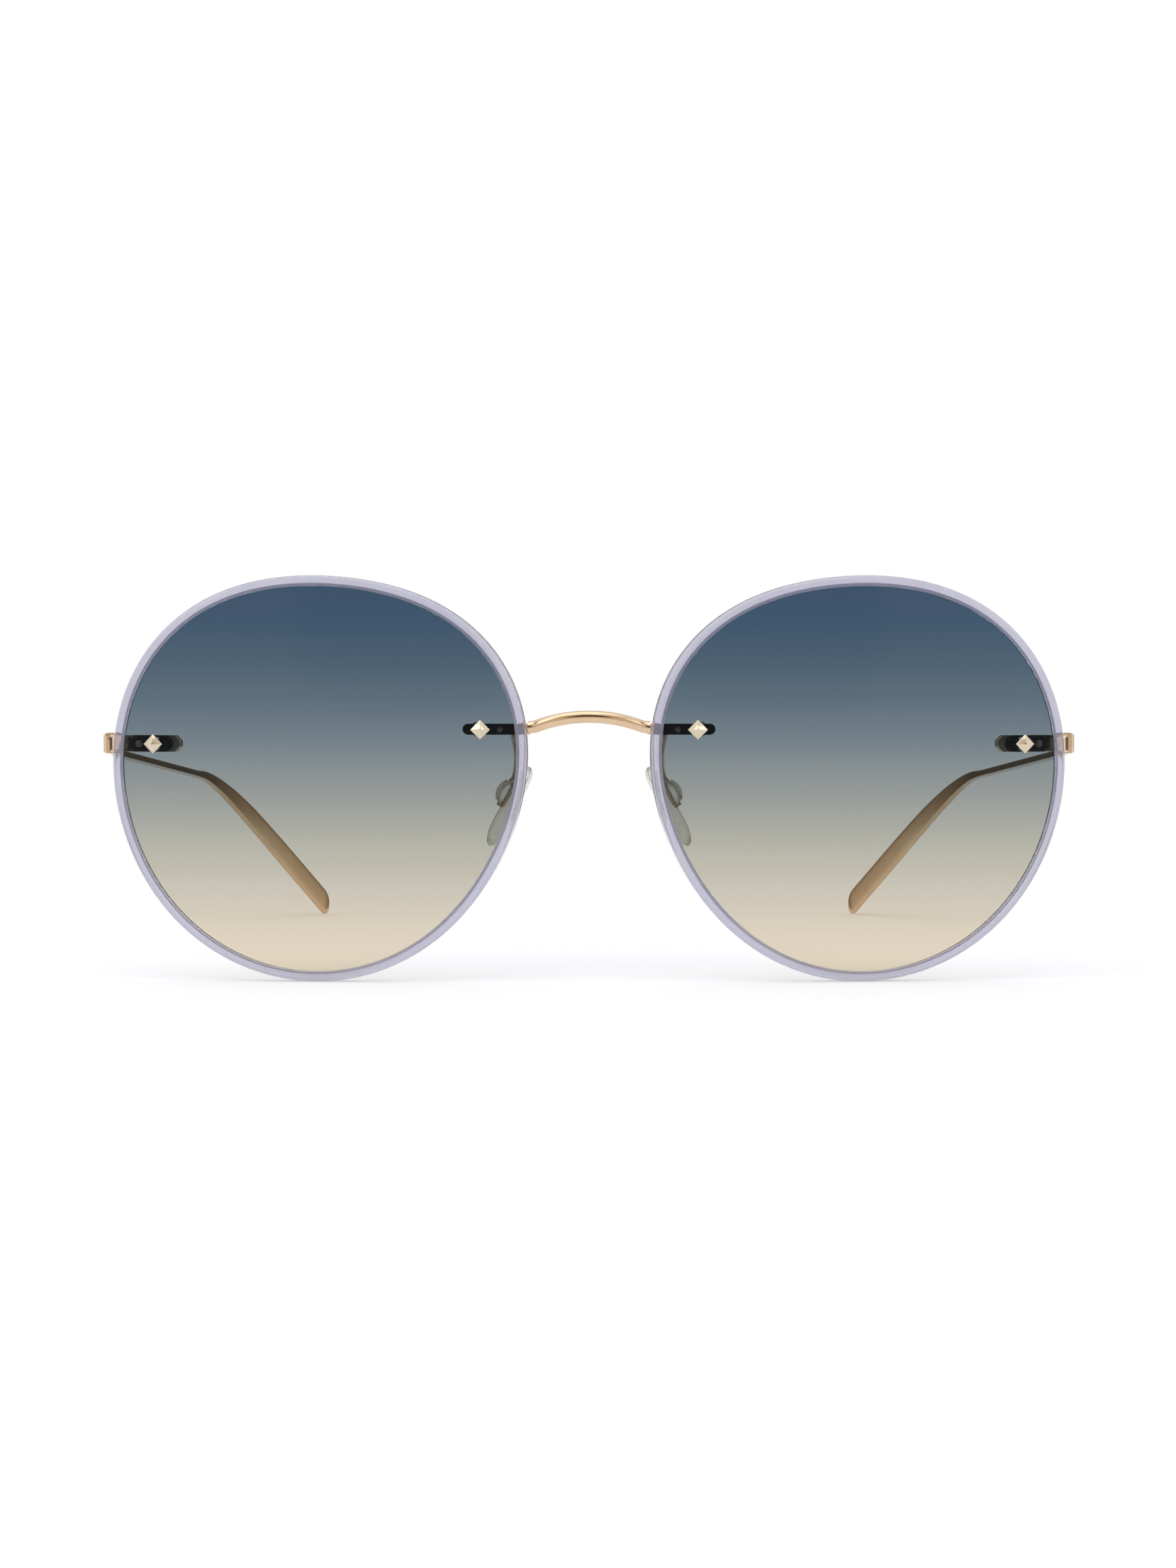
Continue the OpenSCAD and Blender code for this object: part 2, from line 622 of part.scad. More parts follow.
module hinge_screw() color(gold) translate([hinge_x, hinge_y, hinge_z - block_h / 2 - screw_tail]) {
    cylinder(r = screw_r, h = block_h + screw_tail - screw_head_t / 2, $fn = round_fn);
    difference() {
        translate([0, 0, block_h + screw_tail - screw_head_t + seat_gap])
            cylinder(r = screw_head_r, h = screw_head_t - seat_gap, $fn = round_fn);
        translate([-screw_head_r, -slot_w / 2, block_h + screw_tail - screw_head_t / 2])
            cube([2 * screw_head_r, slot_w, screw_head_t]);
    }
}

// Rivet through the outer wall, with a domed head
module side_rivet() color(gold) translate([wall_in, hinge_y + rivet_back, hinge_z])
    rotate([0, 90, 0]) rotate_extrude($fn = round_fn) {
        square([rivet_shank_r, wall_t + rivet_h / 2]);
        intersection() {
            translate([0, wall_t + seat_gap]) square([rivet_r, rivet_h]);
            translate([0, wall_t + rivet_h - dome_r]) circle(r = dome_r, $fn = 2 * round_fn);
        }
    }

dome_r = (rivet_r * rivet_r + rivet_h * rivet_h) / (2 * rivet_h);

module temple() color(gold) skin([for (s = temple_stations)
    ring(path_at(s), heading(s), temple_side, temple_t * end_round(s), full_h(s) * end_round(s),
        temple_sides, temple_soft)]);

temple_sides = 16;
temple_soft = 0.7;

// How far back the fittings' metal reaches, and where the nuts and posts end
nasal_rear = nasal_back + shim_t + plate_t;
temporal_rear = temporal_back + shim_t + block_t;
nasal_tail = nasal_rear + nut_t + post_tail;
temporal_tail = temporal_rear + nut_t + post_tail;

// Plain pin that stops a fitting from turning on the lens
module locating_pin(s, r, back) color(gold) translate([s, 0, 0]) pin(r, seat_gap + sag(s), back);
module nasal_pin() nasal_fitting() locating_pin(-nasal_pin_in, nasal_pin_r, nasal_rear);
module temporal_pin() temporal_fitting() locating_pin(temporal_pin_out, temporal_pin_r, temporal_rear);

left() rim();  // rim_left
right() rim();  // rim_right
left() lens();  // lens_left
right() lens();  // lens_right
right() bridge_bar();
left() bridge_plate();  // bridge_plate_left
right() bridge_plate();  // bridge_plate_right
left() nasal_shim();  // nasal_shim_left
right() nasal_shim();  // nasal_shim_right
left() pad_arm();  // pad_arm_left
right() pad_arm();  // pad_arm_right
left() pad_blade();  // pad_blade_left
right() pad_blade();  // pad_blade_right
left() nose_pad();  // nose_pad_left
right() nose_pad();  // nose_pad_right
left() endpiece();  // endpiece_left
right() endpiece();  // endpiece_right
left() temporal_shim();  // temporal_shim_left
right() temporal_shim();  // temporal_shim_right
left() nasal_fitting() stud(nasal_tail);  // nasal_stud_left
right() nasal_fitting() stud(nasal_tail);  // nasal_stud_right
left() temporal_fitting() stud(temporal_tail);  // temporal_stud_left
right() temporal_fitting() stud(temporal_tail);  // temporal_stud_right
left() nasal_fitting() washer();  // nasal_washer_left
right() nasal_fitting() washer();  // nasal_washer_right
left() temporal_fitting() washer();  // temporal_washer_left
right() temporal_fitting() washer();  // temporal_washer_right
left() nasal_fitting() sleeve(nasal_back);  // nasal_sleeve_left
right() nasal_fitting() sleeve(nasal_back);  // nasal_sleeve_right
left() temporal_fitting() sleeve(temporal_back);  // temporal_sleeve_left
right() temporal_fitting() sleeve(temporal_back);  // temporal_sleeve_right
left() nasal_fitting() nut(nasal_rear);  // nasal_nut_left
right() nasal_fitting() nut(nasal_rear);  // nasal_nut_right
left() temporal_fitting() nut(temporal_rear);  // temporal_nut_left
right() temporal_fitting() nut(temporal_rear);  // temporal_nut_right
left() nasal_pin();  // nasal_pin_left
right() nasal_pin();  // nasal_pin_right
left() temporal_pin();  // temporal_pin_left
right() temporal_pin();  // temporal_pin_right
left() temple_hinge();  // temple_hinge_left
right() temple_hinge();  // temple_hinge_right
left() hinge_screw();  // hinge_screw_left
right() hinge_screw();  // hinge_screw_right
left() side_rivet();  // side_rivet_left
right() side_rivet();  // side_rivet_right
left() temple();  // temple_left
right() temple();  // temple_right
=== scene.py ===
import math

import bmesh
import bpy
from mathutils import Matrix, Vector


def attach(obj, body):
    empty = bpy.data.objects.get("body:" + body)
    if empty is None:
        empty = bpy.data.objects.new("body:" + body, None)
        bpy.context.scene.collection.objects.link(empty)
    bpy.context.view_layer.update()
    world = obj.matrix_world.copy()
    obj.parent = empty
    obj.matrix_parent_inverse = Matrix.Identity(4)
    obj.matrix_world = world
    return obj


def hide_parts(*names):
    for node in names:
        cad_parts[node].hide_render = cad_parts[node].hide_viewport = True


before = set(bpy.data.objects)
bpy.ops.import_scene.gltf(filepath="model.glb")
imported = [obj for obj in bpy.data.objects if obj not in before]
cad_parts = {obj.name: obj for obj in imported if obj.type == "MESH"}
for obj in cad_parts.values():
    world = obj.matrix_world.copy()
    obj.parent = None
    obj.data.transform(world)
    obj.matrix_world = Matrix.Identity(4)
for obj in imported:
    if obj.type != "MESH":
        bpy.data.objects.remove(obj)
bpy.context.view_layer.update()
scene = bpy.context.scene
scene.view_settings.view_transform = "Standard"


# --- Camera ------------------------------------------------------------------
# The photograph is taken level with the lenses, from half a metre in front of
# them and a touch above, with a short telephoto lens.

MM = 0.001
CAMERA_DISTANCE = 500 * MM
CAMERA_ABOVE = math.radians(2.0)
CAMERA_TARGET = Vector((-0.14, -65.79, 28.44)) * MM

camera = bpy.data.objects.new("camera", bpy.data.cameras.new("camera"))
camera.data.sensor_fit = "VERTICAL"
camera.data.sensor_height = 36
camera.data.lens = 80
camera.data.clip_start = 0.01
camera.location = CAMERA_TARGET + CAMERA_DISTANCE * Vector(
    (0, -math.cos(CAMERA_ABOVE), math.sin(CAMERA_ABOVE))
)
camera.rotation_euler = (math.pi / 2 - CAMERA_ABOVE, 0, 0)
scene.collection.objects.link(camera)
scene.camera = camera


# --- Studio ------------------------------------------------------------------
# A small white card under the glasses and a white room round them. Polished
# metal needs dark things to mirror, so dark screens stand in front and behind.

FLOOR_SIZE = 0.36
CARD_WHITE = "#DEDEDF"
ROOM_WHITE = "#FFFFFF"
ROOM_LIGHT = "#FBFCFF"
CARD_GLOW, ROOM_GLOW = 0.405, 0.7
SCREEN_TILT = math.radians(20)
# What metal mirrors, from the screen at the camera (0) to the one behind (1)
SCREENS = (
    (0.002, "#33261B"),
    (0.014, "#4A3A2C"),
    (0.024, "#D8D0C6"),
    (0.12, "#E4DED6"),
    (0.22, ROOM_WHITE),
    (0.74, ROOM_WHITE),
    (0.86, "#B5A48E"),
    (0.95, "#6E6356"),
    (0.998, "#504F4C"),
)


def linear(code, alpha=1.0):
    """A colour written as sRGB hex, as the linear values that a shader takes."""
    parts = [int(code[i : i + 2], 16) / 255 for i in (1, 3, 5)]
    return tuple(
        p / 12.92 if p <= 0.04045 else ((p + 0.055) / 1.055) ** 2.4 for p in parts
    ) + (alpha,)


def add(tree, kind, inputs=None, **settings):
    """Adds a node with its settings; each input is a value or another node's socket."""
    node = tree.nodes.new(kind)
    for name, value in settings.items():
        setattr(node, name, value)
    for key, value in (inputs or {}).items():
        if isinstance(value, bpy.types.NodeSocket):
            tree.links.new(value, node.inputs[key])
        else:
            node.inputs[key].default_value = value
    return node


def blank(name):
    """A new material with an empty node tree."""
    material = bpy.data.materials.new(name)
    material.use_nodes = True
    material.node_tree.nodes.clear()
    return material, material.node_tree


# White card: matt paper with a fine tooth, lifted to pure white for the eye but
# not for the lamps, so that only the soft shadow under the glasses shows on it
card, tree = blank("white_card")
where = add(tree, "ShaderNodeTexCoord")
fibres = add(
    tree,
    "ShaderNodeTexNoise",
    {"Vector": where.outputs["Object"], "Scale": 1 / (0.8 * MM), "Detail": 2.0},
)
tooth = add(
    tree,
    "ShaderNodeBump",
    {"Strength": 0.1, "Distance": 0.02 * MM, "Height": fibres.outputs[0]},
)
matt = add(
    tree,
    "ShaderNodeBsdfDiffuse",
    {"Color": linear(CARD_WHITE), "Normal": tooth.outputs[0]},
)
seen = add(tree, "ShaderNodeLightPath")
glow = add(
    tree, "ShaderNodeEmission", {"Color": linear(ROOM_WHITE), "Strength": CARD_GLOW}
)
dark = add(tree, "ShaderNodeEmission", {"Color": linear(ROOM_WHITE), "Strength": 0.0})
either = add(
    tree,
    "ShaderNodeMath",
    {0: seen.outputs["Is Camera Ray"], 1: seen.outputs["Is Transmission Ray"]},
    operation="MAXIMUM",
)
any_view = add(
    tree,
    "ShaderNodeMath",
    {0: either.outputs[0], 1: seen.outputs["Is Glossy Ray"]},
    operation="MAXIMUM",
)
lift = add(
    tree,
    "ShaderNodeMixShader",
    {0: any_view.outputs[0], 1: dark.outputs[0], 2: glow.outputs[0]},
)
both = add(tree, "ShaderNodeAddShader", {0: matt.outputs[0], 1: lift.outputs[0]})
add(tree, "ShaderNodeOutputMaterial", {"Surface": both.outputs[0]})

bpy.ops.mesh.primitive_plane_add(size=FLOOR_SIZE)
floor = bpy.context.object
floor.name = "floor"
floor.data.materials.append(card)

# The room: plain white to the eye and through the lenses. Metal also finds a
# small dark screen round the camera and a broad one, tan to grey, at the back.
world = bpy.data.worlds.new("room")
world.use_nodes = True
scene.world = world
tree = world.node_tree
tree.nodes.clear()
seen = add(tree, "ShaderNodeLightPath")
way = add(tree, "ShaderNodeTexCoord")
tilted = add(
    tree,
    "ShaderNodeVectorRotate",
    {"Vector": way.outputs["Generated"], "Angle": SCREEN_TILT},
    rotation_type="X_AXIS",
)
split = add(tree, "ShaderNodeSeparateXYZ", {0: tilted.outputs[0]})
from_front = add(
    tree,
    "ShaderNodeMapRange",
    {"Value": split.outputs["Y"], "From Min": -1.0, "From Max": 1.0},
)
screens = add(tree, "ShaderNodeValToRGB", {0: from_front.outputs[0]})
for place_on, colour in SCREENS:
    stop = screens.color_ramp.elements.new(place_on)
    stop.color = linear(colour)
screens.color_ramp.elements.remove(screens.color_ramp.elements[0])
screens.color_ramp.elements.remove(screens.color_ramp.elements[-1])
mirrored = add(
    tree, "ShaderNodeBackground", {"Color": screens.outputs[0], "Strength": 1.0}
)
lamps = add(
    tree, "ShaderNodeBackground", {"Color": linear(ROOM_LIGHT), "Strength": ROOM_GLOW}
)
white = add(
    tree, "ShaderNodeBackground", {"Color": linear(ROOM_WHITE), "Strength": 1.0}
)
either = add(
    tree,
    "ShaderNodeMath",
    {0: seen.outputs["Is Camera Ray"], 1: seen.outputs["Is Transmission Ray"]},
    operation="MAXIMUM",
)
first = add(
    tree,
    "ShaderNodeMixShader",
    {0: seen.outputs["Is Glossy Ray"], 1: lamps.outputs[0], 2: mirrored.outputs[0]},
)
both = add(
    tree,
    "ShaderNodeMixShader",
    {0: either.outputs[0], 1: first.outputs[0], 2: white.outputs[0]},
)
add(tree, "ShaderNodeOutputWorld", {"Surface": both.outputs[0]})


def softbox(name, stand, towards, size, power):
    """A square lamp behind white cloth."""
    lamp = bpy.data.objects.new(name, bpy.data.lights.new(name, "AREA"))
    lamp.data.shape = "SQUARE"
    lamp.data.size = size
    lamp.data.energy = power
    lamp.location = stand
    lamp.rotation_euler = (
        (Vector(towards) - lamp.location).to_track_quat("-Z", "Y").to_euler()
    )
    scene.collection.objects.link(lamp)


softbox("softbox_above", (-0.1, -0.2, 0.9), (0, 0, 0.02), 0.8, 1.5)
softbox("softbox_left", (-0.62, -0.6, 0.62), (0, 0, 0.03), 0.4, 0.7)
softbox("softbox_right", (0.66, -0.62, 0.58), (0, 0, 0.03), 0.4, 0.5)


# --- Rims --------------------------------------------------------------------
# Each rim is a closed ring of translucent lavender cellulose acetate, cut from
# sheet, tumbled until its edges are round, and heated to snap over the lens.

CENTRE_Y = 69.1214
LENS_X, LENS_Z = 39.13, 29.92
LENS_CURVE, LENS_THICK = 132.0, 2.0
LENS_WRAP = math.radians(4)
RIM_MEAN, RIM_WIDE, RIM_LIP = 29.7, 1.6, 0.5
RIM_DEEP = LENS_THICK + 2 * RIM_LIP
RIM_POLISH, RIM_STEPS = 0.02, 360
GROOVE, GROOVE_GAP = 0.45, 0.05
# The waves that turn the mean circle into the rim's outline, flat under the brow and
# full at the cheek: how many go round, and the cosine and sine parts of each
OUTLINE_WAVES = ((2, 0.33, 0.15), (3, 0.14, 0.75), (4, -0.2, 0.11))


def outline(a, inset=0.0):
    """Distance from the lens centre to the rim's outer edge, less an inset.

    The angle starts at the nose and goes over the brow.
    """
    r = RIM_MEAN - inset
    for waves, cosine, sine in OUTLINE_WAVES:
        r += cosine * math.cos(waves * a)
        r += sine * math.sin(waves * a)
    return r


def face(side):
    """From millimetres at the glasses' face to the shared frame.

    x is measured outwards from the middle; side is 1 (right) or -1.
    """
    return Matrix.Diagonal((side * MM, MM, MM, 1)) @ Matrix.Translation(
        (0, -CENTRE_Y, 0)
    )


def lens_frame(side):
    """The lens's own frame, at its centre and turned towards the temple."""
    return (
        face(side)
        @ Matrix.Translation((LENS_X, 0, LENS_Z))
        @ Matrix.Rotation(LENS_WRAP, 4, "Z")
    )


def new_object(name, mesh):
    """A mesh as an object of the scene, at the origin."""
    obj = bpy.data.objects.new(name, mesh)
    scene.collection.objects.link(obj)
    return obj


def place(mesh, matrix):
    """Moves a mesh into the shared frame and keeps its faces pointing outwards."""
    mesh.transform(matrix)
    if matrix.determinant() < 0:
        mesh.flip_normals()


def swept_bar_tree():
    """A bar swept along a path, with its width and height read from the path's points."""
    tree = bpy.data.node_groups.new("swept_bar", "GeometryNodeTree")
    for label, kind, value in (
        ("Path", "NodeSocketGeometry", None),
        ("Side", "NodeSocketVector", (0, 1, 0)),
        ("Sides", "NodeSocketInt", 24),
        ("Corner", "NodeSocketFloat", 1.0),
        ("Finish", "NodeSocketMaterial", None),
    ):
        socket = tree.interface.new_socket(label, in_out="INPUT", socket_type=kind)
        if value is not None:
            socket.default_value = value
    tree.interface.new_socket("Bar", in_out="OUTPUT", socket_type="NodeSocketGeometry")
    given = add(tree, "NodeGroupInput")
    line = add(tree, "GeometryNodeMeshToCurve", {0: given.outputs["Path"]})
    here = add(tree, "GeometryNodeInputPosition")
    ahead = add(tree, "GeometryNodeInputTangent")
    keep = {}
    flow = line.outputs[0]
    for label, source in (("at", here.outputs[0]), ("ahead", ahead.outputs[0])):
        store = add(
            tree,
            "GeometryNodeStoreNamedAttribute",
            {"Geometry": flow, "Name": label, "Value": source},
            data_type="FLOAT_VECTOR",
            domain="POINT",
        )
        flow = store.outputs[0]
    circle = add(
        tree,
        "GeometryNodeCurvePrimitiveCircle",
        {"Resolution": given.outputs["Sides"], "Radius": 1.0},
    )
    around = add(
        tree,
        "GeometryNodeStoreNamedAttribute",
        {"Geometry": circle.outputs[0], "Name": "around", "Value": here.outputs[0]},
        data_type="FLOAT_VECTOR",
        domain="POINT",
    )
    skin = add(
        tree,
        "GeometryNodeCurveToMesh",
        {"Curve": flow, "Profile Curve": around.outputs[0], "Fill Caps": True},
    )
    for label, kind in (
        ("at", "FLOAT_VECTOR"),
        ("ahead", "FLOAT_VECTOR"),
        ("around", "FLOAT_VECTOR"),
        ("width", "FLOAT"),
        ("height", "FLOAT"),
    ):
        keep[label] = add(
            tree, "GeometryNodeInputNamedAttribute", {"Name": label}, data_type=kind
        ).outputs[0]

    raised = add(
        tree,
        "ShaderNodeVectorMath",
        {0: given.outputs["Side"], 1: keep["ahead"]},
        operation="CROSS_PRODUCT",
    )
    up = add(
        tree, "ShaderNodeVectorMath", {0: raised.outputs[0]}, operation="NORMALIZE"
    )
    side = add(
        tree,
        "ShaderNodeVectorMath",
        {0: keep["ahead"], 1: up.outputs[0]},
        operation="CROSS_PRODUCT",
    )
    split = add(tree, "ShaderNodeSeparateXYZ", {0: keep["around"]})
    moved = keep["at"]
    for part, direction, size in ((0, side, "width"), (1, up, "height")):
        value = split.outputs[part]
        away = add(tree, "ShaderNodeMath", {0: value}, operation="ABSOLUTE")
        bulge = add(
            tree,
            "ShaderNodeMath",
            {0: away.outputs[0], 1: given.outputs["Corner"]},
            operation="POWER",
        )
        half = add(
            tree,
            "ShaderNodeMath",
            {0: bulge.outputs[0], 1: keep[size]},
            operation="MULTIPLY",
        )
        way = add(tree, "ShaderNodeMath", {0: value}, operation="SIGN")
        reach = add(
            tree,
            "ShaderNodeMath",
            {0: half.outputs[0], 1: way.outputs[0]},
            operation="MULTIPLY",
        )
        step = add(
            tree,
            "ShaderNodeVectorMath",
            {0: direction.outputs[0], "Scale": reach.outputs[0]},
            operation="SCALE",
        )
        sum_of = add(
            tree,
            "ShaderNodeVectorMath",
            {0: moved, 1: step.outputs[0]},
            operation="ADD",
        )
        moved = sum_of.outputs[0]
    put = add(
        tree,
        "GeometryNodeSetPosition",
        {"Geometry": skin.outputs[0], "Position": moved},
    )
    real = add(tree, "GeometryNodeRealizeInstances", {0: put.outputs[0]})
    done = add(
        tree,
        "GeometryNodeSetMaterial",
        {"Geometry": real.outputs[0], "Material": given.outputs["Finish"]},
    )
    add(tree, "NodeGroupOutput", {0: done.outputs[0]})
    return tree


SWEPT_BAR = swept_bar_tree()


def swept(name, points, widths, heights, finish, closed=False, **inputs):
    """A bar along a path of points, grown by the node tree and kept as a plain mesh."""
    n = len(points)
    path = bpy.data.meshes.new(name)
    edges = [(i, i + 1) for i in range(n - 1)] + ([(n - 1, 0)] if closed else [])
    path.from_pydata(points, edges, [])
    for label, values in (("width", widths), ("height", heights)):
        halves = [value / 2 for value in values]
        path.attributes.new(label, "FLOAT", "POINT").data.foreach_set("value", halves)
    obj = new_object(name, path)
    grow = obj.modifiers.new("grow", "NODES")
    grow.node_group = SWEPT_BAR
    inputs["Finish"] = finish
    for item in SWEPT_BAR.interface.items_tree:
        if item.item_type == "SOCKET" and item.name in inputs:
            grow[item.identifier] = inputs[item.name]
    seen_by = obj.evaluated_get(bpy.context.evaluated_depsgraph_get())
    mesh = bpy.data.meshes.new_from_object(seen_by)
    obj.modifiers.clear()
    obj.data = mesh
    for label in ("at", "ahead", "around", "width", "height"):
        if label in mesh.attributes:
            mesh.attributes.remove(mesh.attributes[label])
    work = bmesh.new()
    work.from_mesh(mesh)
    bmesh.ops.remove_doubles(work, verts=work.verts, dist=1e-7)
    bmesh.ops.recalc_face_normals(work, faces=work.faces)
    work.to_mesh(mesh)
    work.free()
    return obj


def lens_solid(inset, front, back, rings=14, steps=288):
    """A curved disc with the rim's outline, in millimetres in the lens's own frame."""
    work = bmesh.new()
    layers = []
    for depth in (front, back):
        hub = work.verts.new((0, depth, 0))
        rows = []
        for k in range(1, rings + 1):
            row = []
            for i in range(steps):
                a = 2 * math.pi * i / steps
                r = outline(a, inset) * k / rings
                x, z = -r * math.cos(a), r * math.sin(a)
                y = LENS_CURVE - math.sqrt((LENS_CURVE - depth) ** 2 - r * r)
                row.append(work.verts.new((x, y, z)))
            rows.append(row)
        layers.append((hub, rows))
    for hub, rows in layers:
        for i in range(steps):
            j = (i + 1) % steps
            work.faces.new((hub, rows[0][i], rows[0][j]))
            for inner, outer in zip(rows, rows[1:]):
                work.faces.new((inner[i], outer[i], outer[j], inner[j]))
    for i in range(steps):
        j = (i + 1) % steps
        a, b = layers[0][1][-1], layers[1][1][-1]
        work.faces.new((a[i], b[i], b[j], a[j]))
    bmesh.ops.recalc_face_normals(work, faces=work.faces)
    mesh = bpy.data.meshes.new("lens_solid")
    work.to_mesh(mesh)
    work.free()
    return mesh


def fitting(out, up):
    """A stud's own frame, seen from the face; +Y points back through the lens."""
    turn = LENS_WRAP + math.asin(out / LENS_CURVE)
    flat = math.sqrt(LENS_CURVE**2 - up * up)
    return (
        Matrix.Translation(
            (
                LENS_X + flat * math.sin(turn) - LENS_CURVE * math.sin(LENS_WRAP),
                LENS_CURVE * math.cos(LENS_WRAP) - flat * math.cos(turn),
                LENS_Z + up,
            )
        )
        @ Matrix.Rotation(turn, 4, "Z")
    )


def block(low, high, matrix):
    """A plain box between two corners, used only to cut."""
    work = bmesh.new()
    bmesh.ops.create_cube(work, size=1.0)
    mesh = bpy.data.meshes.new("block")
    work.to_mesh(mesh)
    work.free()
    size = [h - l for l, h in zip(low, high)]
    middle = [(h + l) / 2 for l, h in zip(low, high)]
    place(mesh, matrix @ Matrix.Translation(middle) @ Matrix.Diagonal((*size, 1)))
    return mesh


def combine(obj, shapes, operation="DIFFERENCE"):
    """Takes other shapes out of a piece, or welds them on, as a plain mesh."""
    for shape in shapes:
        tool = new_object("tool", shape)
        mod = obj.modifiers.new("combine", "BOOLEAN")
        mod.object = tool
        mod.solver = "EXACT"
        mod.operation = operation
        seen_by = obj.evaluated_get(bpy.context.evaluated_depsgraph_get())
        mesh = bpy.data.meshes.new_from_object(seen_by)
        obj.modifiers.clear()
        obj.data = mesh
        bpy.data.objects.remove(tool)


def smooth(obj, angle):
    """Shades a piece smooth but for the edges that turn more than an angle in degrees."""
    obj.data.shade_smooth()
    obj.data.set_sharp_from_angle(angle=math.radians(angle))


def repaint(obj, material):
    """Gives the whole piece one material."""
    obj.data.materials.clear()
    obj.data.materials.append(material)


NASAL = fitting(-23.48, 6.36)
TEMPORAL = fitting(23.57, 4.26)
NASAL_SEAT, TEMPORAL_SEAT = 2.234, 2.117
# The slots in the back of the rim that let the plates pass behind the lens
SLOT_ROOM, SLOT_LONG, SLOT_DEEP = 0.05, 20, 22
RIM_SLOTS = (
    (NASAL, NASAL_SEAT, 1.12, -SLOT_LONG, 0),
    (TEMPORAL, TEMPORAL_SEAT, 1.23, 0, SLOT_LONG),
)

# The colour sockets of a mix node, whose names stand for other kinds of value first
MIX_A, MIX_B, MIX_COLOUR = 6, 7, 2

# Cellulose acetate, tumbled to a high gloss: slightly milky, so the plates behind
# it show through softly, with a lavender tint that gathers where it is thick
acetate, tree = blank("lavender_acetate")
where = add(tree, "ShaderNodeTexCoord")
cloud = add(
    tree,
    "ShaderNodeTexNoise",
    {"Vector": where.outputs["Object"], "Scale": 1 / (5 * MM), "Detail": 2.0},
)
tint = add(
    tree,
    "ShaderNodeMix",
    {"Factor": cloud.outputs[0], MIX_A: linear("#DDDCE9"), MIX_B: linear("#CFCEE1")},
    data_type="RGBA",
)
ripple = add(
    tree,
    "ShaderNodeTexNoise",
    {"Vector": where.outputs["Object"], "Scale": 1 / (1.2 * MM), "Detail": 1.0},
)
tumbled = add(
    tree,
    "ShaderNodeBump",
    {"Strength": 0.15, "Distance": 0.03 * MM, "Height": ripple.outputs[0]},
)
gloss = add(
    tree,
    "ShaderNodeMapRange",
    {"Value": ripple.outputs[0], "To Min": 0.02, "To Max": 0.08},
)
crystal = add(
    tree,
    "ShaderNodeBsdfPrincipled",
    {
        "Base Color": tint.outputs[MIX_COLOUR],
        "Roughness": gloss.outputs[0],
        "IOR": 1.48,
        "Transmission Weight": 0.76,
        "Normal": tumbled.outputs[0],
    },
)
add(tree, "ShaderNodeOutputMaterial", {"Surface": crystal.outputs[0]})

for side, hand in ((1, "right"), (-1, "left")):
    ring = []
    for i in range(RIM_STEPS):
        a = 2 * math.pi * i / RIM_STEPS
        r = outline(a, RIM_WIDE / 2)
        ring.append((-r * math.cos(a), LENS_THICK / 2, r * math.sin(a)))
    rim = swept(
        "rim_" + hand + "_acetate",
        ring,
        [RIM_DEEP] * RIM_STEPS,
        [RIM_WIDE - RIM_POLISH] * RIM_STEPS,
        acetate,
        closed=True,
        Side=(0, 1, 0),
        Sides=40,
        Corner=0.42,
    )
    # The flat ring is bowed to the lens's curve before its groove is cut
    for v in rim.data.vertices:
        x, y, z = v.co
        v.co.y = LENS_CURVE - math.sqrt((LENS_CURVE - y) ** 2 - x * x - z * z)
    groove = RIM_WIDE - GROOVE - GROOVE_GAP
    combine(rim, [lens_solid(groove, -GROOVE_GAP, LENS_THICK + GROOVE_GAP, 4)])
    place(rim.data, lens_frame(side))
    slots = [
        block((inner, seat - SLOT_ROOM, -half), (outer, SLOT_DEEP, half), face(side) @ spot)
        for spot, seat, half, inner, outer in RIM_SLOTS
    ]
    combine(rim, slots)
    smooth(rim, 40)
    repaint(rim, acetate)
    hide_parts("rim_" + hand)
    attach(rim, "front")


# --- Lenses ------------------------------------------------------------------
# Cast nylon lenses, dip-dyed from the top so that the blue-grey fades through
# grey-green to a pale champagne, then drilled for the posts.

LENS_FADE = (
    (0.04, "#3F546B"),
    (0.1, "#40576D"),
    (0.2, "#4D6172"),
    (0.3, "#5E6F7C"),
    (0.4, "#738088"),
    (0.5, "#8D9494"),
    (0.6, "#A4A6A0"),
    (0.7, "#BAB8AA"),
    (0.8, "#CBC4B4"),
    (0.9, "#DBD0BB"),
    (0.96, "#E1D5BE"),
)
# The dye fades from the top of the lens to its bottom, between these heights
LENS_LOW, LENS_HIGH = 1.2 * MM, 57.2 * MM
POST_HOLE, DRILL_FROM, DRILL_TO = 1.0, -5, 8
# Where each peg's hole is beside its post, and its radius
PEG_HOLES = ((NASAL, -2.85, 0.47), (TEMPORAL, 2.25, 0.57))

# Cast nylon is optically smooth and as clear as glass. The dye leaves faint level
# lines where the lens waited in the bath, and both faces are coated against glare
nylon, tree = blank("dip_dyed_nylon")
where = add(tree, "ShaderNodeTexCoord")
level = add(
    tree,
    "ShaderNodeMapping",
    {"Vector": where.outputs["Object"], "Scale": (12, 12, 1 / (1.6 * MM))},
)
lines = add(
    tree,
    "ShaderNodeTexNoise",
    {"Vector": level.outputs[0], "Scale": 1.0, "Detail": 2.0},
)
wander = add(
    tree,
    "ShaderNodeMapRange",
    {"Value": lines.outputs[0], "To Min": -0.5 * MM, "To Max": 0.5 * MM},
)
split = add(tree, "ShaderNodeSeparateXYZ", {0: where.outputs["Object"]})
bath = add(
    tree,
    "ShaderNodeMath",
    {0: split.outputs["Z"], 1: wander.outputs[0]},
    operation="ADD",
)
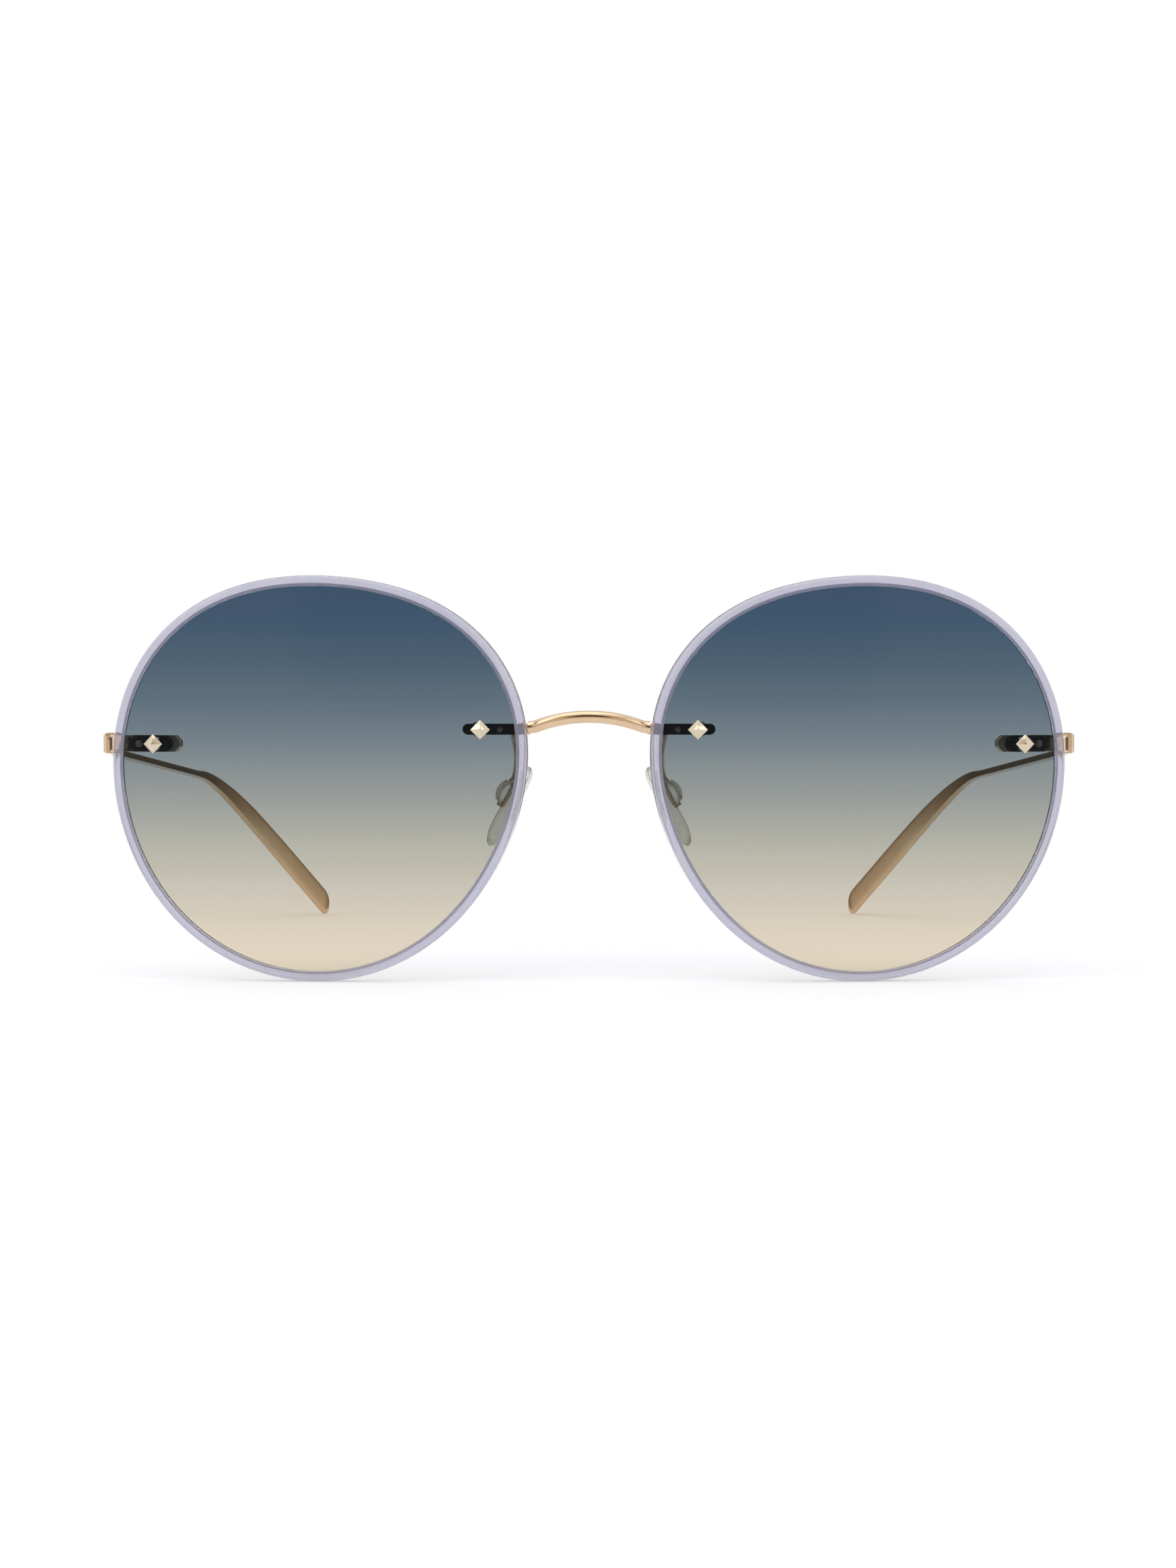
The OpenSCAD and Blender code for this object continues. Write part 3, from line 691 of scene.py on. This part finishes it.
fall = add(
    tree,
    "ShaderNodeMapRange",
    {
        "Value": bath.outputs[0],
        "From Min": LENS_HIGH,
        "From Max": LENS_LOW,
        "To Min": 0.0,
        "To Max": 1.0,
    },
)
dye = add(tree, "ShaderNodeValToRGB", {0: fall.outputs[0]})
for depth, colour in LENS_FADE:
    stop = dye.color_ramp.elements.new(depth)
    stop.color = linear(colour)
dye.color_ramp.elements.remove(dye.color_ramp.elements[0])
dye.color_ramp.elements.remove(dye.color_ramp.elements[-1])
tinted = add(
    tree,
    "ShaderNodeBsdfPrincipled",
    {
        "Base Color": dye.outputs[0],
        "Roughness": 0.0,
        "IOR": 1.5,
        "Specular Tint": linear("#808488"),
        "Transmission Weight": 1.0,
    },
)
through = add(tree, "ShaderNodeBsdfTransparent", {"Color": dye.outputs[0]})
seen = add(tree, "ShaderNodeLightPath")
lets_light = add(
    tree,
    "ShaderNodeMixShader",
    {0: seen.outputs["Is Shadow Ray"], 1: tinted.outputs[0], 2: through.outputs[0]},
)
add(tree, "ShaderNodeOutputMaterial", {"Surface": lets_light.outputs[0]})


def rod(radius, low, high, matrix, steps=32):
    """A plain round rod along +Y, from low to high."""
    work = bmesh.new()
    bmesh.ops.create_cone(
        work,
        cap_ends=True,
        segments=steps,
        radius1=radius,
        radius2=radius,
        depth=high - low,
    )
    mesh = bpy.data.meshes.new("rod")
    work.to_mesh(mesh)
    work.free()
    middle = Matrix.Translation((0, (low + high) / 2, 0))
    place(mesh, matrix @ middle @ Matrix.Rotation(math.pi / 2, 4, "X"))
    return mesh


for side, hand in ((1, "right"), (-1, "left")):
    sheet = lens_solid(RIM_WIDE - GROOVE, 0.0, LENS_THICK, 24)
    lens = new_object("lens_" + hand + "_tinted", sheet)
    place(lens.data, lens_frame(side))
    holes = []
    for spot, peg_at, peg_hole in PEG_HOLES:
        post = face(side) @ spot
        peg = post @ Matrix.Translation((peg_at, 0, 0))
        holes.append(rod(POST_HOLE, DRILL_FROM, DRILL_TO, post))
        holes.append(rod(peg_hole, DRILL_FROM, DRILL_TO, peg))
    combine(lens, holes)
    smooth(lens, 40)
    repaint(lens, nylon)
    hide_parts("lens_" + hand)
    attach(lens, "front")


# --- Bridge bar --------------------------------------------------------------
# A round bar of nickel silver, bent to an arch that leans forward, polished and
# plated light gold. Its ends are turned down and soldered into both collars.

BAR_THICK, BAR_END, BAR_RISE = 1.76, 8.094, 1.95
BAR_EASE, BAR_REACH, BAR_STEPS = 7.4, 8.44, 72
BAR_LEAN = math.radians(35)
BAR_Y, BAR_Z = 4.364, 36.48

# Gold plate over nickel silver, buffed on a mop: a near mirror with a soft swirl
# of polishing marks, and a slightly redder cast where the buff thinned the plate
gold, tree = blank("polished_gold_plate")
where = add(tree, "ShaderNodeTexCoord")
thin = add(
    tree,
    "ShaderNodeTexNoise",
    {"Vector": where.outputs["Object"], "Scale": 1 / (3 * MM), "Detail": 2.0},
)
tone = add(
    tree,
    "ShaderNodeMix",
    {"Factor": thin.outputs[0], MIX_A: linear("#E3C9A9"), MIX_B: linear("#D8BA98")},
    data_type="RGBA",
)
swirl = add(
    tree,
    "ShaderNodeTexNoise",
    {
        "Vector": where.outputs["Object"],
        "Scale": 1 / (0.3 * MM),
        "Detail": 3.0,
        "Distortion": 1.2,
    },
)
buffed = add(
    tree,
    "ShaderNodeMapRange",
    {"Value": swirl.outputs[0], "To Min": 0.08, "To Max": 0.2},
)
marks = add(
    tree,
    "ShaderNodeBump",
    {"Strength": 0.08, "Distance": 0.01 * MM, "Height": swirl.outputs[0]},
)
plate = add(
    tree,
    "ShaderNodeBsdfPrincipled",
    {
        "Base Color": tone.outputs[MIX_COLOUR],
        "Metallic": 1.0,
        "Roughness": buffed.outputs[0],
        "Normal": marks.outputs[0],
    },
)
add(tree, "ShaderNodeOutputMaterial", {"Surface": plate.outputs[0]})

arc_r = (BAR_END**2 + BAR_RISE**2) / (2 * BAR_RISE)
lean = (
    Matrix.Diagonal((MM, MM, MM, 1))
    @ Matrix.Translation((0, BAR_Y - CENTRE_Y, BAR_Z))
    @ Matrix.Rotation(BAR_LEAN, 4, "X")
)
# The arch is a circle's arc that eases to level at both ends, where it is soldered
# into the collars
arch = []
for i in range(BAR_STEPS + 1):
    x = BAR_REACH * math.sin(math.pi / 2 * (2 * i / BAR_STEPS - 1))
    round_part = min(abs(x), BAR_EASE)
    z = BAR_RISE - arc_r + math.sqrt(arc_r**2 - round_part**2)
    slope = -round_part / math.sqrt(arc_r**2 - round_part**2)
    past = abs(x) - round_part
    z += slope * (past - past * past / (2 * (BAR_REACH - BAR_EASE)))
    arch.append((x, 0, z))
bar = swept(
    "arched_bar",
    arch,
    [BAR_THICK] * len(arch),
    [BAR_THICK] * len(arch),
    gold,
    Side=(0, 1, 0),
    Sides=40,
    Corner=1.0,
)
place(bar.data, lean)
smooth(bar, 50)
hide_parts("bridge_bar")
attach(bar, "front")


# --- Machined fittings -------------------------------------------------------
# Plates, endpieces, hinges, nuts and rivets are stamped or turned from brass,
# tumbled so that every edge has a fine radius, and plated with the bar. The shims
# and pegs between them and the lens are moulded plastic.

# An edge is sharp from SHARP_TURN radians, and long from LONG_EDGE millimetres
SHARP_TURN, LONG_EDGE, PRISM_EASE = 0.6, 0.6, 0.08
FITTING_TURN, HINGE_CORNER = 32, 0.38

# The same gold plate on small tumbled parts: tumbling leaves their faces a little
# wavy, so that they mirror the room in soft bands rather than as one flat tone
tumbled_gold, tree = blank("tumbled_gold_plate")
where = add(tree, "ShaderNodeTexCoord")
thin = add(
    tree,
    "ShaderNodeTexNoise",
    {"Vector": where.outputs["Object"], "Scale": 1 / (1.5 * MM), "Detail": 2.0},
)
tone = add(
    tree,
    "ShaderNodeMix",
    {"Factor": thin.outputs[0], MIX_A: linear("#E6CDB1"), MIX_B: linear("#D8BC9E")},
    data_type="RGBA",
)
wavy = add(
    tree,
    "ShaderNodeTexNoise",
    {"Vector": where.outputs["Object"], "Scale": 1 / (1.3 * MM), "Detail": 1.0},
)
softened = add(
    tree,
    "ShaderNodeBump",
    {"Strength": 0.8, "Distance": 0.12 * MM, "Height": wavy.outputs[0]},
)
scuffs = add(
    tree,
    "ShaderNodeTexNoise",
    {"Vector": where.outputs["Object"], "Scale": 1 / (0.2 * MM), "Detail": 3.0},
)
satin = add(
    tree,
    "ShaderNodeMapRange",
    {"Value": scuffs.outputs[0], "To Min": 0.1, "To Max": 0.22},
)
small_part = add(
    tree,
    "ShaderNodeBsdfPrincipled",
    {
        "Base Color": tone.outputs[MIX_COLOUR],
        "Metallic": 1.0,
        "Roughness": satin.outputs[0],
        "Normal": softened.outputs[0],
    },
)
add(tree, "ShaderNodeOutputMaterial", {"Surface": small_part.outputs[0]})

# Pale champagne plate on diamond-cut facets: bright and flat, with the cutter's
# fine lines, drawn 0.12 mm apart so that they can be seen
champagne, tree = blank("champagne_plate")
where = add(tree, "ShaderNodeTexCoord")
cutter = add(
    tree,
    "ShaderNodeTexWave",
    {
        "Vector": where.outputs["Object"],
        "Scale": 1 / (0.12 * MM) * math.pi / 10,
        "Distortion": 1.5,
        "Detail": 2.0,
    },
    wave_type="BANDS",
    bands_direction="Z",
)
cut_gloss = add(
    tree,
    "ShaderNodeMapRange",
    {"Value": cutter.outputs[1], "To Min": 0.13, "To Max": 0.18},
)
cut_lines = add(
    tree,
    "ShaderNodeBump",
    {"Strength": 0.04, "Distance": 0.01 * MM, "Height": cutter.outputs[1]},
)
facets = add(
    tree,
    "ShaderNodeBsdfPrincipled",
    {
        "Base Color": linear("#D9CBB4"),
        "Metallic": 1.0,
        "Roughness": cut_gloss.outputs[0],
        "Normal": cut_lines.outputs[0],
    },
)
add(tree, "ShaderNodeOutputMaterial", {"Surface": facets.outputs[0]})

# Moulded black acetal: a dense satin black that keeps the fine spark grain of the
# mould, about 0.1 mm across
black, tree = blank("black_acetal")
where = add(tree, "ShaderNodeTexCoord")
spark = add(
    tree,
    "ShaderNodeTexNoise",
    {"Vector": where.outputs["Object"], "Scale": 1 / (0.15 * MM), "Detail": 2.0},
)
satin = add(
    tree,
    "ShaderNodeMapRange",
    {"Value": spark.outputs[0], "To Min": 0.24, "To Max": 0.42},
)
grain = add(
    tree,
    "ShaderNodeBump",
    {"Strength": 0.25, "Distance": 0.02 * MM, "Height": spark.outputs[0]},
)
moulded = add(
    tree,
    "ShaderNodeBsdfPrincipled",
    {
        "Base Color": linear("#1C1815"),
        "Roughness": satin.outputs[0],
        "IOR": 1.48,
        "Normal": grain.outputs[0],
    },
)
add(tree, "ShaderNodeOutputMaterial", {"Surface": moulded.outputs[0]})

# Clear polyamide washers and sleeves: water-clear, with a skin that is slightly
# uneven from the mould
clear, tree = blank("clear_polyamide")
where = add(tree, "ShaderNodeTexCoord")
uneven = add(
    tree,
    "ShaderNodeTexNoise",
    {"Vector": where.outputs["Object"], "Scale": 1 / (0.5 * MM), "Detail": 1.0},
)
skin = add(
    tree,
    "ShaderNodeMapRange",
    {"Value": uneven.outputs[0], "To Min": 0.06, "To Max": 0.18},
)
water_clear = add(
    tree,
    "ShaderNodeBsdfPrincipled",
    {
        "Base Color": linear("#F1F2F1"),
        "Roughness": skin.outputs[0],
        "IOR": 1.5,
        "Transmission Weight": 0.9,
    },
)
add(tree, "ShaderNodeOutputMaterial", {"Surface": water_clear.outputs[0]})


def eased(name, node, edge, material, body, corner=0.0):
    """A copy of a machined CAD piece with its edges eased.

    A corner radius rounds the long edges of its outermost face instead.
    """
    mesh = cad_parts[node].data.copy()
    work = bmesh.new()
    work.from_mesh(mesh)
    bmesh.ops.remove_doubles(work, verts=work.verts, dist=1e-7)
    bmesh.ops.dissolve_limit(
        work, angle_limit=math.radians(1), verts=work.verts, edges=work.edges
    )
    sharp = [
        e
        for e in work.edges
        if len(e.link_faces) == 2 and e.calc_face_angle(0) > SHARP_TURN
    ]
    rounds = [(sharp, edge, 2)]
    if corner:
        reach = max(abs(v.co.x) for v in work.verts)
        outer = [
            e
            for e in sharp
            if e.calc_length() > LONG_EDGE * MM
            and all(abs(abs(v.co.x) - reach) < 0.01 * MM for v in e.verts)
        ]
        rounds = [(outer, corner, 5)]
    for edges, offset, segments in rounds:
        if edges and offset:
            bmesh.ops.bevel(
                work,
                geom=edges,
                offset=offset * MM,
                segments=segments,
                profile=0.5,
                affect="EDGES",
                clamp_overlap=True,
            )
    bmesh.ops.recalc_face_normals(work, faces=work.faces)
    work.to_mesh(mesh)
    work.free()
    obj = new_object(name, mesh)
    smooth(obj, FITTING_TURN)
    repaint(obj, material)
    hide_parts(node)
    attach(obj, body)
    return obj


def prism(plan, low, high, matrix):
    """A flat shape drawn from above, given a height and eased edges."""
    work = bmesh.new()
    rings = [[work.verts.new((x, y, z)) for x, y in plan] for z in (low, high)]
    work.faces.new(rings[0])
    work.faces.new(rings[1])
    for i in range(len(plan)):
        j = (i + 1) % len(plan)
        work.faces.new((rings[0][i], rings[0][j], rings[1][j], rings[1][i]))
    bmesh.ops.recalc_face_normals(work, faces=work.faces)
    bmesh.ops.bevel(
        work,
        geom=work.edges[:],
        offset=PRISM_EASE,
        segments=2,
        profile=0.5,
        affect="EDGES",
        clamp_overlap=True,
    )
    mesh = bpy.data.meshes.new("prism")
    work.to_mesh(mesh)
    work.free()
    place(mesh, matrix)
    return mesh


# The endpiece's arm keeps the block's full height until it meets the hinge's ears.
# It starts inside the block, from ARM_IN to ARM_OUT beyond the stud, and its outer
# side aims ARM_PAST beyond the hinge's axis
HINGE_X, HINGE_Y, HINGE_Z = 68.2014, 9.5139, 34.18
ARM_IN, ARM_OUT, ARM_FRONT, ARM_BACK = 2.9, 7.43, 0.5, 1.4
ARM_HALF, ARM_PAST, EAR_CLEAR = 1.18, 0.8, 1.12
front_in = TEMPORAL @ Vector((ARM_IN, TEMPORAL_SEAT + ARM_FRONT, 0))
front_out = TEMPORAL @ Vector((ARM_OUT, TEMPORAL_SEAT + ARM_FRONT, 0))
back_in = TEMPORAL @ Vector((ARM_IN, TEMPORAL_SEAT + ARM_BACK, 0))
eye = Vector((HINGE_X, HINGE_Y, HINGE_Z))
eye_out = eye + Vector((ARM_PAST, 0, 0))
stop_y = HINGE_Y - EAR_CLEAR
ARM_PLAN = [
    (p.x, p.y)
    for p in (
        front_in,
        front_out,
        front_out.lerp(eye_out, (stop_y - front_out.y) / (HINGE_Y - front_out.y)),
        back_in.lerp(eye, (stop_y - back_in.y) / (HINGE_Y - back_in.y)),
        back_in,
    )
]

# A line is scored down the hinge's front, between its ears and its outer wall
SCORE = (69.2, HINGE_Y - 1.3, HINGE_Z - 1.25), (69.45, HINGE_Y - 0.65, HINGE_Z + 1.25)

# The bridge plate is trimmed to TRIM_X and ends in an upright collar round the bar
COLLAR_R, COLLAR_END, COLLAR_STEPS = 0.96, 8.8, 64
TRIM_X, TRIM_HALF = 8.7, 3

for side, hand in ((1, "right"), (-1, "left")):
    for node, edge, material, slot, body in (
        ("bridge_plate_", 0.1, tumbled_gold, "gold_metal", "front"),
        ("endpiece_", 0.1, tumbled_gold, "gold_metal", "front"),
        ("pad_blade_", 0.03, tumbled_gold, "gold_metal", "front"),
        ("nasal_nut_", 0.08, tumbled_gold, "gold_metal", "front"),
        ("temporal_nut_", 0.08, tumbled_gold, "gold_metal", "front"),
        ("nasal_pin_", 0.16, black, "black_plastic", "front"),
        ("temporal_pin_", 0.2, black, "black_plastic", "front"),
        ("nasal_stud_", 0.09, champagne, "champagne_metal", "front"),
        ("temporal_stud_", 0.09, champagne, "champagne_metal", "front"),
        ("nasal_shim_", 0.04, black, "black_plastic", "front"),
        ("temporal_shim_", 0.04, black, "black_plastic", "front"),
        ("nasal_washer_", 0.0, clear, "clear_plastic", "front"),
        ("temporal_washer_", 0.0, clear, "clear_plastic", "front"),
        ("nasal_sleeve_", 0.0, clear, "clear_plastic", "front"),
        ("temporal_sleeve_", 0.0, clear, "clear_plastic", "front"),
        ("temple_hinge_", 0.25, tumbled_gold, "gold_metal", "temple_" + hand),
        ("hinge_screw_", 0.04, tumbled_gold, "gold_metal", "temple_" + hand),
        ("side_rivet_", 0.0, tumbled_gold, "gold_metal", "temple_" + hand),
    ):
        corner = HINGE_CORNER if node == "temple_hinge_" else 0.0
        name = node + hand
        piece = eased(name + "_eased", name, edge, material, body, corner)
        changes = ()
        if node == "endpiece_":
            arm = prism(ARM_PLAN, HINGE_Z - ARM_HALF, HINGE_Z + ARM_HALF, face(side))
            changes = ((arm, "UNION"),)
        elif node == "temple_hinge_":
            changes = ((block(*SCORE, face(side)), "DIFFERENCE"),)
        elif node == "bridge_plate_":
            low = (0, BAR_Y - TRIM_HALF, BAR_Z - TRIM_HALF)
            high = (TRIM_X, BAR_Y + TRIM_HALF, BAR_Z + TRIM_HALF)
            bar_end = face(side) @ Matrix.Translation((0, BAR_Y, BAR_Z))
            along_bar = bar_end @ Matrix.Rotation(-math.pi / 2, 4, "Z")
            collar = rod(COLLAR_R, BAR_REACH, COLLAR_END, along_bar, COLLAR_STEPS)
            changes = ((block(low, high, face(side)), "DIFFERENCE"), (collar, "UNION"))
        for shape, operation in changes:
            combine(piece, [shape], operation)
            smooth(piece, FITTING_TURN)
            repaint(piece, material)


# --- Pad arms ----------------------------------------------------------------
# Plated wire, 1 mm thick, soldered to the back of each bridge plate. It curves
# in towards the nose, down and back to the serrated blade that carries the pad.

ARM_THICK, ARM_STEPS, SOLDER, SOLDER_FLARE = 1.0, 36, 0.35, 0.25
SHIM_THICK, PLATE_THICK, SEAT_GAP = 0.35, 0.8, 0.02
PLATE_IN, ROOT_IN = 7.2, 2.3
plate_back = NASAL_SEAT + SHIM_THICK + PLATE_THICK + SEAT_GAP
ARM_ROOT = NASAL @ Vector((ROOT_IN - PLATE_IN, plate_back, 0))
ARM_START = ARM_ROOT + Vector((0.3, 3.0, 0))

# The pad's middle lies behind the rim and below the lens centre, turned to the nose
PAD_X, PAD_BEHIND, PAD_BELOW = 11.6, 8.2, 4.9
rim_front = fitting(-RIM_MEAN, -PAD_BELOW).translation.y
PAD_MIDDLE = Vector((PAD_X, rim_front + PAD_BEHIND, LENS_Z - PAD_BELOW))
pad_splay = Matrix.Rotation(math.radians(-28), 4, "Y")
PAD_TURN = pad_splay @ Matrix.Rotation(math.radians(-12), 4, "Z")
PAD_THICK, BLADE_THICK, BLADE_UP, BLADE_LONG = 2.0, 0.6, 1.5, 4.4
BLADE_TOP = BLADE_UP + BLADE_LONG / 2
BLADE_X = (PAD_THICK + BLADE_THICK) / 2
ARM_FALL = PAD_MIDDLE + PAD_TURN @ Vector((BLADE_X + 0.3, 0, BLADE_TOP + 3.5))
ARM_FOOT = PAD_MIDDLE + PAD_TURN @ Vector((BLADE_X, 0, BLADE_TOP + 0.05))

route, gauge = [], []
for i in range(ARM_STEPS + 1):
    t = i / ARM_STEPS
    route.append(
        (1 - t) ** 3 * ARM_ROOT
        + 3 * t * (1 - t) ** 2 * ARM_START
        + 3 * t * t * (1 - t) * ARM_FALL
        + t**3 * ARM_FOOT
    )
    from_end = min((route[-1] - ARM_ROOT).length / SOLDER, 1)
    gauge.append(ARM_THICK * (1 + SOLDER_FLARE - SOLDER_FLARE * from_end))

for side, hand in ((1, "right"), (-1, "left")):
    arm = swept(
        "pad_arm_" + hand + "_wire",
        route,
        gauge,
        gauge,
        gold,
        Side=(0.4, 0, 1),
        Sides=24,
        Corner=1.0,
    )
    place(arm.data, face(side))
    smooth(arm, 60)
    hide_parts("pad_arm_" + hand)
    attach(arm, "front")


# --- Nose pads ---------------------------------------------------------------
# Clear injection-moulded silicone, drop-shaped and soft all over, with a pocket
# on the lens side that slides over the serrated blade.

# Clear silicone: soft and slightly milky where it is thick, with a satin skin
# that shows the mould's fine waves
silicone, tree = blank("clear_silicone")
where = add(tree, "ShaderNodeTexCoord")
milk = add(
    tree,
    "ShaderNodeTexNoise",
    {"Vector": where.outputs["Object"], "Scale": 1 / (2 * MM), "Detail": 2.0},
)
body = add(
    tree,
    "ShaderNodeMix",
    {"Factor": milk.outputs[0], MIX_A: linear("#F4F5F2"), MIX_B: linear("#E6E8E3")},
    data_type="RGBA",
)
waves = add(
    tree,
    "ShaderNodeTexNoise",
    {"Vector": where.outputs["Object"], "Scale": 1 / (0.7 * MM), "Detail": 1.0},
)
satin = add(
    tree,
    "ShaderNodeMapRange",
    {"Value": waves.outputs[0], "To Min": 0.08, "To Max": 0.24},
)
soft_skin = add(
    tree,
    "ShaderNodeBump",
    {"Strength": 0.2, "Distance": 0.04 * MM, "Height": waves.outputs[0]},
)
rubber = add(
    tree,
    "ShaderNodeBsdfPrincipled",
    {
        "Base Color": body.outputs[MIX_COLOUR],
        "Roughness": satin.outputs[0],
        "IOR": 1.41,
        "Transmission Weight": 0.92,
        "Normal": soft_skin.outputs[0],
    },
)
add(tree, "ShaderNodeOutputMaterial", {"Surface": rubber.outputs[0]})

PAD_VOXEL, PAD_SOFTENING = 0.16, 6

for hand in ("right", "left"):
    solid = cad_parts["nose_pad_" + hand].data.copy()
    pad = new_object("nose_pad_" + hand + "_silicone", solid)
    work = bmesh.new()
    work.from_mesh(pad.data)
    bmesh.ops.remove_doubles(work, verts=work.verts, dist=1e-7)
    work.to_mesh(pad.data)
    work.free()
    mod = pad.modifiers.new("skin", "REMESH")
    mod.mode = "VOXEL"
    mod.voxel_size = PAD_VOXEL * MM
    mod = pad.modifiers.new("soften", "SMOOTH")
    mod.factor = 0.5
    mod.iterations = PAD_SOFTENING
    seen_by = pad.evaluated_get(bpy.context.evaluated_depsgraph_get())
    mesh = bpy.data.meshes.new_from_object(seen_by)
    pad.modifiers.clear()
    pad.data = mesh
    smooth(pad, 80)
    repaint(pad, silicone)
    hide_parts("nose_pad_" + hand)
    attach(pad, "front")


# --- Temples -----------------------------------------------------------------
# Slim plated bars with rounded edges, bent down and in behind the ear, where the
# metal is pressed wider and flatter into a smooth paddle.

TEMPLE_Z = HINGE_Z - 1.5
WALL_MID, WALL_BACK = 69.9014, 7.5
STRAIGHT, TEMPLE_IN, TEMPLE_DOWN = 75.5, math.radians(3.45), math.radians(4.45)
BEND_R, BEND, ROLL, TIP = 49.0, math.radians(40), math.radians(34.5), 23.56
BAR_H, TIP_H, BAR_W, WIDEN = 1.2, 5.0, 0.9, 8.0
STATION, TIP_STEPS, TIP_CLOSE = 0.8, 14, math.radians(88)

start = Vector((WALL_MID, HINGE_Y + WALL_BACK + SEAT_GAP, TEMPLE_Z))
ahead = Vector(
    (
        -math.sin(TEMPLE_IN) * math.cos(TEMPLE_DOWN),
        math.cos(TEMPLE_IN) * math.cos(TEMPLE_DOWN),
        -math.sin(TEMPLE_DOWN),
    )
)
inward = Vector((0, 0, 1)).cross(ahead).normalized()
under = -ahead.cross(inward).normalized()
bend_way = math.cos(ROLL) * under + math.sin(ROLL) * inward
bend_l = BEND_R * BEND
whole = STRAIGHT + bend_l + TIP


def along(s):
    """A point of the temple's centre line, a distance behind the hinge wall."""
    if s <= STRAIGHT:
        return start + s * ahead
    a = min((s - STRAIGHT) / BEND_R, BEND)
    turned = math.sin(a) * ahead + (1 - math.cos(a)) * bend_way
    p = start + STRAIGHT * ahead + BEND_R * turned
    past = max(0, s - STRAIGHT - bend_l)
    return p + past * (math.cos(BEND) * ahead + math.sin(BEND) * bend_way)


# Even stations as far as the rounded tip, then closer ones that follow its circle
stations = [0.0]
while stations[-1] < whole - TIP_H / 2:
    stations.append(stations[-1] + STATION)
stations = [s for s in stations if s < whole - TIP_H / 2]
for k in range(TIP_STEPS + 1):
    stations.append(whole - TIP_H / 2 * (1 - math.sin(TIP_CLOSE * k / TIP_STEPS)))
points, widths, heights = [], [], []
for s in stations:
    t = min(1, max(0, (s - STRAIGHT + WIDEN) / (bend_l + 2 * WIDEN)))
    t = t * t * (3 - 2 * t)
    k = max(0, 1 - (whole - s) / (TIP_H / 2))
    end = math.sqrt(1 - k * k)
    points.append(along(s))
    widths.append(BAR_W * end)
    heights.append((BAR_H + (TIP_H - BAR_H) * t) * end)

for side, hand in ((1, "right"), (-1, "left")):
    temple = swept(
        "temple_" + hand + "_bar",
        points,
        widths,
        heights,
        gold,
        Side=inward,
        Sides=32,
        Corner=0.7,
    )
    place(temple.data, face(side))
    smooth(temple, 60)
    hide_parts("temple_" + hand)
    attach(temple, "temple_" + hand)
